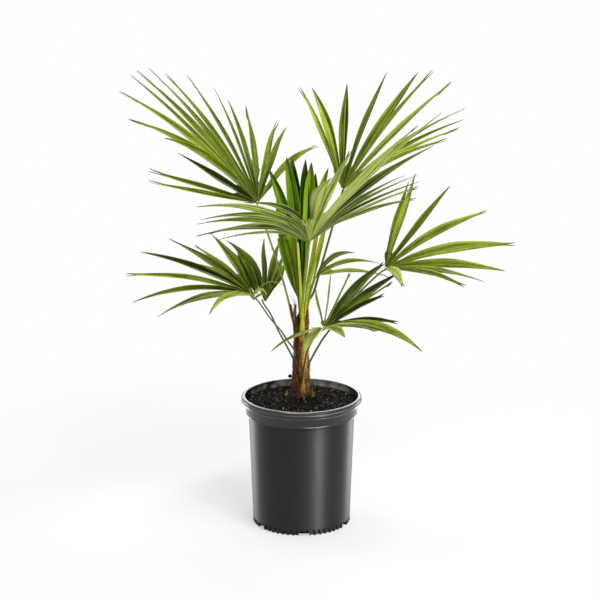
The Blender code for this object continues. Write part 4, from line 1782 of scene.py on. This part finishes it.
@dataclass
class Stem:
    """The stem: matted brown fibre over the overlapping sheaths of old leaves.

    mat is its own material, and fibre that of the loose fibres.
    """

    mat: Material
    fibre: Material
    rows: int = 170
    columns: int = 110
    sheath_pitch: float = 0.034
    sheath_depth: float = 0.0017
    mat_depth: float = 0.0008
    crown_z: float = 0.388
    crown_shift: Vector = Vector((0.006, 0.0, 0.0))
    strand_count: int = 340
    crown_strand_count: int = 60
    root_strand_count: int = 170

    def relief(self, angle: float, z: float) -> float:
        """How far the fibre stands off the stem's plain shape at a place.

        Args:
            angle: its bearing, in radians.
            z: its height.

        Returns:
            The relief.
        """
        rates = ((4.0, 60.0), (9.0, 70.0), (34.0, 110.0))
        ragged, mat, fine = (noise.noise(radial(reach, angle, z * rate)) for reach, rate in rates)
        step = (2.0 * angle / math.tau + z / self.sheath_pitch + ragged * 0.16) % 1.0
        sheath = self.sheath_depth * (1.0 - smoothstep(0.0, 0.88, step) + smoothstep(0.95, 1.0, step))
        return sheath * 0.7 + mat * self.mat_depth + fine * self.mat_depth * 0.6

    @staticmethod
    def shade(across: float, along: float) -> Point2:
        """The fibre's tone, with painted light and shade: a highlight low at the front, light on the upper
        front right and shade at the left.

        Args:
            across: how far round the stem, from 0 to 1.
            along: how far up it, from 0 to 1.

        Returns:
            The shade and the seed.
        """
        angle = across * math.tau
        # painted light and shade: a highlight low at the front, light on the upper front right and shade at
        # the left; patch is the fibre's own patchy tone
        painted_low_highlight = bell(angle, 5.0, 0.22) * smoothstep(0.34, 0.16, along)
        upper = bell(angle, 5.35, 0.42) * smoothstep(0.30, 0.55, along)
        dark = bell(angle, 3.9, 0.6) * smoothstep(0.25, 0.6, along)
        patch = noise.noise(radial(3.0, angle, along * 9.0))
        return (0.53 + 0.48 * painted_low_highlight + 0.48 * upper - 0.16 * dark + 0.16 * patch, 0.0)

    def body(self) -> None:
        """Make the stem itself."""
        low, high = STEM_PROFILE[0][0], STEM_PROFILE[-1][0]
        mould = Mould()
        rows = []
        for share in shares(self.rows):
            z = blend(low, high, share)
            axis = STEM_AXIS + UP * z
            closing = smoothstep(self.crown_z, high, z)
            heart = axis + self.crown_shift * closing
            ring = (stem_point(angle, z, self.relief(angle, z) - 0.0006) for angle in turn(self.columns))
            rows.append(mould.row(heart + (place - axis) * (1.0 - 0.60 * closing) for place in ring))
        mould.grid(rows, self.shade, closed=True)
        mould.face(rows[0][::-1])
        mould.wheel(rows[-1], STEM_AXIS + self.crown_shift + UP * (high + 0.0012))
        settle(mould.build("stem_fibre_mat", self.mat), Slot.STEM, "stem")

    def strands(self) -> None:
        """Make the loose fibres on the stem, at its crown and at its foot."""
        rng = random.Random("strands")
        mould = Mould()
        for _ in range(self.strand_count):
            angle = rng.uniform(0.0, math.tau)
            foot = rng.uniform(0.247, 0.405)
            length = rng.uniform(0.010, 0.032)
            drift = rng.choice((-1.0, 1.0)) * rng.uniform(0.1, 0.75)
            path = fibre_path(rng, angle, foot, length, drift, rng.uniform(0.0, 0.0018))
            mould.tube(path, thinning(rng.uniform(0.00012, 0.00028), 0.10), 3, (rng.uniform(0.1, 1.0), 0.0))
        for _ in range(self.crown_strand_count):
            angle = rng.uniform(math.pi, math.tau)
            foot = rng.uniform(0.370, 0.400)
            length = rng.uniform(0.012, 0.024)
            path = fibre_path(rng, angle, foot, length, rng.uniform(-0.6, 0.6), rng.uniform(0.0, 0.004))
            mould.tube(path, thinning(0.0003, 0.12), 3, (rng.uniform(0.0, 0.8), 0.0))
        for _ in range(self.root_strand_count):
            angle = rng.uniform(0.0, math.tau)
            start = stem_point(angle, rng.uniform(0.2500, 0.2600), 0.0006)
            sway = angle + rng.uniform(-0.22, 0.22)
            end = stem_point(sway, 0.2500, rng.uniform(0.0020, 0.0080))
            end.z = soil_height(math.hypot(end.x, end.y)) + 0.0002
            bend = start.lerp(end, 0.5) + UP * rng.uniform(-0.0010, 0.0012)
            mould.tube([start, bend, end], [0.00042, 0.00040, 0.00020], 4, (rng.uniform(0.1, 1.0), 0.0))
        settle(mould.build("stem_strands", self.fibre), Slot.STEM)

    def tan_fibre(self) -> None:
        """Make the one long tan fibre that curls off the stem's front."""
        route = in_metres(((3.5, 19.6, 383), (8.5, 17, 389), (13, 17.5, 395), (16.5, 20, 399)))
        mould = Mould()
        mould.tube(catmull(route, 14), thinning(0.0010, 0.055, 14), 8, (0.95, 0.0))
        settle(mould.build("stem_tan_fibre", self.fibre), Slot.STEM)

    def nub(self) -> None:
        """Make the small dark nub beside the stem, on its own short stalk."""
        middle = Vector((-0.0226, 0.0300, 0.2862))
        root = STEM_AXIS + Vector((-0.0155, -0.0030, 0.2850))
        radius, rings = 0.0037, 12
        mould = Mould()
        mould.tube([root, root.lerp(middle, 0.6), middle], [0.0009, 0.0007, 0.0006], 8, (0.15, 0.0))
        rows = []
        for i in range(rings):
            polar = math.pi * (i + 0.35) / (rings - 0.3)
            rays = [radial(math.sin(polar), angle, math.cos(polar)) for angle in turn(18)]
            bumped = (ray * (radius * (1.0 + 0.10 * noise.noise(ray * 3.0))) for ray in rays)
            rows.append(mould.row(middle + reach for reach in bumped))
        mould.grid(rows[::-1], (0.12, 0.0), closed=True)
        mould.face(rows[0])
        mould.face(rows[-1][::-1])
        settle(mould.build("stem_nub", self.mat), Slot.STEM)

    def build(self) -> None:
        """Make every piece of the stem."""
        self.body()
        self.strands()
        self.tan_fibre()
        self.nub()


@dataclass
class OldLeafBase:
    """The strap that an old leaf leaves on the stem, frayed at its top."""

    name: str
    bearing: float
    foot_z: float
    top_z: float
    half_width: float
    flare: float
    split: float
    point: float = 0.72
    turn_out: float = 0.0
    thickness: float = 0.0013
    rows: int = 34
    columns: int = 19
    strand_count: int = 26

    def build(self, skin: Material, fibre: Material) -> None:
        """Make the strap and the fibres that fray from it.

        Args:
            skin: the strap's material.
            fibre: the fibres' material.
        """
        rng = random.Random(self.name)
        sides = [2.0 * share - 1.0 for share in shares(self.columns)]
        tops = []
        for side in sides:
            cleft = self.split * bell(side, 0.0, 0.30)
            shoulder = (0.30 - 0.30 * self.split) * abs(side) ** 1.6
            tops.append(max(1.0 - cleft - shoulder - rng.uniform(0.0, 0.10), 0.2))
        mould = Mould()
        rows = [
            mould.row(self.place(side, top * share) for side, top in zip(sides, tops))
            for share in shares(self.rows)
        ]
        mould.grid(rows, (0.5, self.bearing))
        strap = mould.build(self.name + "_strap", skin)
        thicken(strap, self.thickness)
        settle(strap, Slot.LEAF_BASE, self.name)
        self.fray(rng, fibre)

    def place(self, side: float, up: float) -> Vector:
        """A point of the strap.

        Args:
            side: how far to the side, from -1 to 1.
            up: how far up, from 0 to 1.

        Returns:
            The point.
        """
        angle = math.radians(self.bearing + side * self.half_width * (1.0 - self.point * up**1.3))
        grain = noise.noise(Vector((side * 7.0, up * 3.0, self.bearing))) * 0.0004
        flare = self.flare * (1.0 - self.turn_out * side)
        stand = 0.0003 + self.thickness / 2 + flare * up * up + grain
        return stem_point(angle, blend(self.foot_z, self.top_z, up), stand)

    def fray(self, rng: random.Random, fibre: Material) -> None:
        """Make the fibres at the strap's top.

        Args:
            rng: where their shapes come from.
            fibre: their material.
        """
        mould = Mould()
        for _ in range(self.strand_count):
            side = rng.uniform(-1.0, 1.0)
            angle = math.radians(self.bearing + side * self.half_width * 0.75)
            foot = blend(self.foot_z, self.top_z, rng.uniform(0.45, 0.85))
            stand = self.flare * rng.uniform(0.4, 1.3)
            path = fibre_path(rng, angle, foot, rng.uniform(0.010, 0.024), rng.uniform(-0.3, 0.3), stand)
            mould.tube(path, thinning(0.00026, 0.12), 3, (rng.random(), 0.0))
        settle(mould.build(self.name + "_fray", fibre), Slot.LEAF_BASE)


# -------- pot and compost


def arc(middle: Point2, radius: float, start: float, end: float, count: int) -> list[Point2]:
    """Points on an arc of a section, between two angles in degrees from outwards to up."""
    angles = [math.radians(blend(start, end, share)) for share in shares(count)]
    return [(middle[0] + radius * math.cos(a), middle[1] + radius * math.sin(a)) for a in angles]


def offset(base: Point2, *steps: Point2) -> list[Point2]:
    """The points that lie these tenths of a millimetre out from and above a base."""
    return [(base[0] + x * MM / 10, base[1] + z * MM / 10) for x, z in steps]


@dataclass
class NurseryPot:
    """The deep nursery pot: a rolled lip, a stepped collar, a tapered wall and a ribbed foot.

    lip, ledge, collar, body and foot are (radius, height) points of its outer line, from the top
    down. arches are set back round the foot, and notches are cut through it.
    """

    lip: Point2 = (0.1175, 0.257)
    ledge: Point2 = (0.1105, 0.247)
    collar: Point2 = (0.1076, 0.2215)
    body: Point2 = (0.1032, 0.2195)
    foot: Point2 = (0.0956, 0.012)
    wall: float = 0.0020
    floor: float = 0.0025
    heel: float = 0.0891
    steps: int = 480
    arches: int = 54
    arch_height: float = 0.0116
    arch_depth: float = 0.0046
    notches: int = 6
    notch_width: float = 0.022
    notch_height: float = 0.0088
    notch_depth: float = 0.014
    notch_turn: float = 87.0

    def outer(self, z: float) -> float:
        """The radius of the outer wall at a height below the lip."""
        top = (self.ledge[0] + 0.0012, self.ledge[1])
        return interpolate([(h, r) for r, h in (self.foot, self.body, self.collar, top)], z)

    def inner(self, z: float) -> float:
        """The radius of the inner wall at a height."""
        return self.outer(z) - self.wall

    def profile(self) -> list[Point2]:
        """The whole section, from the middle of the floor inside, over the lip, to the underside.

        Returns:
            Its points, as radius and height.
        """
        sill = self.foot[1] + 0.0008
        walls = (sill, 0.120, self.body[1], self.collar[1], self.ledge[1])
        inside = [(0.0, self.floor), (self.heel, self.floor), (self.heel, self.foot[1])]
        inside += [(self.inner(z), z) for z in walls]
        lip = offset(self.lip, (-72, -16))
        lip += arc(*offset(self.lip, (-64, -8)), 0.0008, 180.0, 90.0, 6)
        lip += offset(self.lip, (-52, 0), (-44, 0), (-38, -2), (-26, -8), (-14, -15))
        lip += arc(*offset(self.lip, (-20, -32)), 0.0018, 62.0, 5.0, 7)
        lip += offset(self.lip, (-8, -44), (-16, -58), (-15, -66))
        lip += arc(*offset(self.lip, (-14, -86)), 0.0014, 58.0, -90.0, 10)
        under = offset(self.ledge, (22, 0), (13, -7), (8, -44), (13, -52), (14, -58), (10, -66), (-4, -76))
        under += offset(self.collar, (-3, 30))
        under += arc(*offset(self.collar, (-6, 13)), 0.0013, 50.0, -80.0, 8)
        under += offset(self.body, (12, 2), (0, -8))
        heights = (0.170, 0.120, 0.070, 0.030, 0.0128, 0.0118, 0.0110, 0.0100, 0.0088, 0.0074, 0.0060)
        foot = [(self.outer(z), z) for z in (*heights, 0.0046, 0.0032, 0.0020)]
        foot += [(self.foot[0] - 0.0006, 0.0010), (self.foot[0] - 0.0016, 0.0), (0.0870, 0.0)]
        foot += [(0.0858, 0.0012), (0.0412, 0.0012), (0.0400, 0.0), (0.0, 0.0)]
        return inside + lip + under + foot

    def arch(self, angle: float, radius: float, z: float) -> float:
        """How far the foot's arches are set back at a place on the section.

        Args:
            angle: the place's bearing, in radians.
            radius: its radius.
            z: its height.

        Returns:
            The depth of the arch there.
        """
        if z > self.arch_height or radius < self.foot[0] - 0.003:
            return 0.0
        place = (angle / math.tau * self.arches) % 1.0
        half = 0.34 * math.sqrt(max(0.0, 1.0 - (z / self.arch_height) ** 2))
        return self.arch_depth * smoothstep(half + 0.06, half - 0.06, abs(place - 0.5))

    def shell(self) -> Mould:
        """The pot's turned shell before its notches are cut.

        Returns:
            The mesh in the making.
        """
        mould = Mould()
        first, *middle, last = self.profile()
        rows = [
            mould.row(radial(radius - self.arch(angle, radius, z), angle, z) for angle in turn(self.steps))
            for radius, z in middle
        ]
        mould.grid([row[::-1] for row in rows], closed=True)
        mould.wheel(rows[0], UP * first[1])
        mould.wheel(rows[-1], UP * last[1], down=True)
        return mould

    def cutters(self) -> Piece:
        """The blocks that cut the drain notches, as one object.

        Returns:
            The blocks.
        """
        depth = self.notch_depth + 0.005
        mould = Mould()
        for i in range(self.notches):
            out = radial(1.0, -math.radians(self.notch_turn + i * 360.0 / self.notches))
            side = Vector((-out.y, out.x, 0.0)) * (self.notch_width / 2)
            middle = out * (self.foot[0] - self.notch_depth + depth / 2)
            corners = []
            for z, spread in ((-self.notch_height, 1.08), (self.notch_height, 0.92)):
                for a, b in ((-1, -1), (1, -1), (1, 1), (-1, 1)):
                    corners.append(mould.point(middle + out * (a * depth / 2) + side * (b * spread) + UP * z))
            for sides in ((0, 3, 2, 1), (4, 5, 6, 7), (0, 1, 5, 4), (1, 2, 6, 5), (2, 3, 7, 6), (3, 0, 4, 7)):
                mould.face([corners[k] for k in sides])
        return mould.build("notch_cutters", soft=False)

    def build(self, finish: Material) -> None:
        """Make the pot's piece.

        Args:
            finish: its material.
        """
        pot = self.shell().build("nursery_pot", finish)
        blocks = self.cutters()
        cut = pot.modifiers.new("notches", "BOOLEAN")
        cut.object = blocks
        cut.operation = "DIFFERENCE"
        bpy.context.view_layer.update()
        shaped = pot.evaluated_get(bpy.context.evaluated_depsgraph_get())
        plain = pot.data
        pot.data = bpy.data.meshes.new_from_object(shaped)
        pot.modifiers.clear()
        bpy.data.meshes.remove(plain)
        bpy.data.objects.remove(blocks)
        pot.data.set_sharp_from_angle(angle=math.radians(38.0))
        settle(pot, Slot.POT, "pot")


@dataclass
class Compost:
    """The pot's filling: a rough mound with crumbs, bark and pale grains on it."""

    pot: NurseryPot
    rings: int = 78
    columns: int = 200
    edge_z: float = 0.239
    clear: float = 0.0006

    def surface(self, radius: float, angle: float, lift: float = 0.0) -> Vector:
        """A point on or over the rough surface.

        Args:
            radius: the point's radius.
            angle: its bearing, in radians.
            lift: how far it stands over the surface.

        Returns:
            The point.
        """
        x, y = radius * math.cos(angle), radius * math.sin(angle)
        reach = math.hypot(x, y)
        rough = 0.0
        for rate, seed, height in ((55.0, 3.0, 0.0024), (170.0, 9.0, 0.0018), (420.0, 5.0, 0.0010)):
            rough += noise.noise(Vector((x * rate, y * rate, seed))) * height
        mound = 0.0030 * bell(math.hypot(x - STEM_AXIS.x, y - STEM_AXIS.y), 0.0, 0.026)
        return Vector((x, y, soil_height(reach) + (rough + mound) * smoothstep(0.107, 0.098, reach) + lift))

    def body(self) -> None:
        """Make the filling itself."""
        pot = self.pot
        mould = Mould()
        rows = []
        for i in range(1, self.rings + 1):
            radius = (pot.inner(self.edge_z) - self.clear) * (i / self.rings) ** 0.9
            rows.append(mould.row(self.surface(radius, angle) for angle in turn(self.columns)))
        heights = (0.232, pot.collar[1] + 0.001, pot.body[1] + 0.0004, 0.120, 0.0140)
        side = [(pot.inner(z) - self.clear, z) for z in heights]
        side += [(pot.heel - self.clear, z) for z in (pot.foot[1], pot.floor + self.clear)]
        rows += [mould.row(radial(radius, angle, z) for angle in turn(self.columns)) for radius, z in side]
        mould.grid([row[::-1] for row in rows], closed=True)
        mould.wheel(rows[0], self.surface(0.0, 0.0))
        mould.face(rows[-1][::-1])
        settle(mould.build("compost", SOIL_MIX.material()), Slot.SOIL, "soil")

    def scatter(
        self, name: str, finish: Material, count: int, small: float, large: float, shape: Vector
    ) -> None:
        """Strew lumps over the surface as one piece.

        Args:
            name: the piece's name.
            finish: its material.
            count: how many lumps.
            small: the smallest half length.
            large: the largest half length.
            shape: how long, wide and high they are.
        """
        rng = random.Random(name)
        mould = Mould()
        for _ in range(count):
            radius = (self.pot.inner(self.edge_z) - 0.004) * math.sqrt(rng.random())
            angle = rng.uniform(0.0, math.tau)
            size = blend(small, large, rng.random() ** 2.2)
            place = self.surface(radius, angle, size * shape.z * 0.45)
            mould.lump(place, shape * size, rng, (rng.random() ** 2.6, rng.uniform(0.0, 9.0)))
        settle(mould.build(name, finish, soft=False), Slot.SOIL)

    def build(self) -> None:
        """Make the filling and what lies on it."""
        self.body()
        crumbs = CRUMBS.material()
        self.scatter("compost_crumbs", crumbs, 3000, 0.0006, 0.0024, Vector((1.0, 0.9, 0.75)))
        self.scatter("bark_chips", crumbs, 240, 0.0018, 0.0042, Vector((1.0, 0.55, 0.30)))
        # pale grains: perlite, and painted glints on the moist soil
        self.scatter("pale_grains", PALE_GRAINS_AND_GLINTS.material(), 240, 0.0006, 0.0017, Vector((1.0, 0.9, 0.8)))


@dataclass
class Shoot:
    """A small shoot in the soil: a folded blade with a point."""

    name: str
    foot: Point2
    rise: Point3
    tone: float
    radius: float = 0.0019
    stations: int = 16

    def build(self, finish: Material) -> None:
        """Make the shoot's piece.

        Args:
            finish: its material.
        """
        rise = Vector(self.rise)
        start = Vector((*self.foot, soil_height(math.hypot(*self.foot)) - 0.0015))
        tip = start + rise + UP * 0.0015
        bow = Vector((-rise.z, 0.0, 0.0)) * 0.06
        mould = Mould()
        path = [start.lerp(tip, t) + bow * math.sin(math.pi * t) for t in shares(self.stations)]
        radii = [self.radius * (1.0 - t**1.8 * 0.86) for t in shares(self.stations)]
        mould.tube(path, radii, 10, (self.tone, 1.0))
        half = self.stations // 2
        for sway, shade in ((0.0030, 0.35), (-0.0026, -0.40)):
            leaf = [path[k] + Vector((sway, -0.0010, 0.0)) * (k / half) for k in range(half + 3)]
            slim = [r * 0.80 * (1.0 - 0.08 * k) for k, r in enumerate(radii[: half + 3])]
            mould.tube(leaf, slim, 8, (self.tone + shade, 5.0))
        settle(mould.build(self.name + "_blade", finish), Slot.SHOOT, self.name)


# -------- studio


@dataclass
class Studio:
    """A pale floor, soft lamps and the camera."""

    camera_place: Point3 = (-0.003, -4.0, 1.5)
    camera_pitch: float = 14.73
    focal_length: float = 128.7
    ambient: float = 0.25

    def floor(self) -> None:
        """Make the floor: white to the camera, with the object's shadow on it."""
        bpy.ops.mesh.primitive_plane_add(size=30.0, location=(0.0, 0.0, 0.0))
        ground = bpy.context.object
        ground.name = "floor"
        g = Coat("pale floor")
        shade = g.ramp(g.noise(g.place(), 3.0, 2.0), ((0.86, 0.86, 0.86), (0.90, 0.90, 0.90)), (0.0, 1.0))
        g.surface(shade, 0.9)
        share = g.seen() * g.length(g.place()).spread(0.45, 1.1, 0.44, 1.0)
        glow = g.value("ShaderNodeEmission", (1.0, 1.0, 1.0), 1.0)
        shaded = Value(g, g.shader.outputs["BSDF"])
        g.feed(g.output.inputs["Surface"], g.value("ShaderNodeMixShader", share, shaded, glow))
        ground.data.materials.append(g.material)

    def sky(self) -> None:
        """Light the world evenly, white where it is seen."""
        world = bpy.data.worlds.new("studio")
        world.use_nodes = True
        bpy.context.scene.world = world
        g = Graph(world.node_tree)
        back = next(node for node in g.tree.nodes if node.type == "BACKGROUND")
        g.feed(back.inputs["Color"], (1.0, 1.0, 1.0))
        g.feed(back.inputs["Strength"], g.seen().spread(0.0, 1.0, self.ambient, 1.0))

    @staticmethod
    def lamp(
        name: str, place: Point3, target: Point3, size: Point2, power: float, beam: float = 180.0
    ) -> None:
        """Add a soft lamp.

        Args:
            name: its name.
            place: where it hangs.
            target: what it points at.
            size: its width and height.
            power: its power, in watts.
            beam: how wide it shines, in degrees.
        """
        light = bpy.data.lights.new(name, "AREA")
        light.spread = math.radians(beam)
        light.shape = "RECTANGLE"
        light.size, light.size_y = size
        light.energy = power
        lamp = bpy.data.objects.new(name, light)
        lamp.location = place
        lamp.rotation_euler = (Vector(target) - Vector(place)).to_track_quat("-Z", "Y").to_euler()
        bpy.context.scene.collection.objects.link(lamp)

    def camera(self) -> None:
        """Place the camera."""
        data = bpy.data.cameras.new("camera")
        data.lens = self.focal_length
        data.sensor_width = 36.0
        data.clip_end = 100.0
        seen_from = bpy.data.objects.new("camera", data)
        seen_from.location = self.camera_place
        seen_from.rotation_euler = (math.radians(90.0 - self.camera_pitch), 0.0, 0.0)
        bpy.context.scene.collection.objects.link(seen_from)
        bpy.context.scene.camera = seen_from

    def build(self) -> None:
        """Make the whole studio."""
        crown = (0.0, 0.0, 0.45)
        self.floor()
        self.sky()
        self.lamp("key", (1.2, -1.6, 2.7), crown, (2.2, 0.6), 74.0)
        self.lamp("top", (-0.3, 0.5, 2.6), crown, (1.2, 1.2), 28.0)
        self.lamp("back", (0.0, 3.0, 1.2), crown, (2.4, 0.8), 18.0)
        self.lamp("strip", (0.70, -0.95, 0.13), (0.03, -0.09, 0.11), (0.34, 0.24), 0.66, 34.0)
        for side in (-1.0, 1.0):
            self.lamp("edge", (side * 0.92, 0.72, 0.14), (side * 0.09, 0.0, 0.12), (0.60, 0.26), 0.50, 34.0)
        self.camera()
        bpy.context.scene.view_settings.view_transform = "Standard"


# -------- the palm


LEAF_BASES = (
    OldLeafBase("leaf_base_left", 214, 0.376, 0.440, 24, 0.0078, 0.72, 0.30, 0.70),
    OldLeafBase("leaf_base_right", 322, 0.350, 0.434, 26, 0.0022, 0.0, 0.93),
    OldLeafBase("leaf_base_rear", 105, 0.300, 0.400, 30, 0.0040, 0.30),
    OldLeafBase("leaf_base_foot", 226, 0.258, 0.322, 26, 0.0030, 0.15),
)
SHOOTS = (
    Shoot("shoot_green", (0.0235, 0.018), (-0.0020, 0.0020, 0.0215), 0.45),
    Shoot("shoot_pale", (-0.031, 0.025), (0.0035, 0.0, 0.0125), 0.85),
)


class WindmillPalm:
    """The whole plant in its pot."""

    def leaves(self) -> None:
        """Make every leaf: its blade and, where it has one, its stalk."""
        sides = (LEAF_UPPER.material(), LEAF_UNDER.material())
        stalks = {tone: tone.value.material() for tone in StalkTone}
        young = LEAF_YOUNG.material()
        for fan in FANS:
            FanLeaf(fan, *((young, young) if fan.tone is LeafTone.YOUNG else sides)).build()
            if fan.route:
                Stalk(fan, stalks[fan.foot.tone]).build()
        for strip in CROWN_STRIPS:
            strip.build(stalks[StalkTone.CROWN])
        dry = SHOOT_SKIN.material()
        for strip in FOLDED_STRIPS:
            strip.build(dry)
        SHORT_SEGMENT.build(sides[0])
        for shoot in SHOOTS:
            shoot.build(dry)

    def build(self) -> None:
        """Make every piece, from the pot up."""
        fibre = STRANDS.material()
        pot = NurseryPot()
        pot.build(POT_BLACK.material())
        Compost(pot).build()
        Stem(STEM_MAT.material(), fibre).build()
        old = OLD_BASE.material()
        for base in LEAF_BASES:
            base.build(old, fibre)
        self.leaves()


def main() -> None:
    """Build the palm and the studio, and note the size of the result."""
    logging.basicConfig(level=logging.INFO, format="%(message)s")
    Studio().build()
    WindmillPalm().build()


if __name__ == "__main__":
    main()
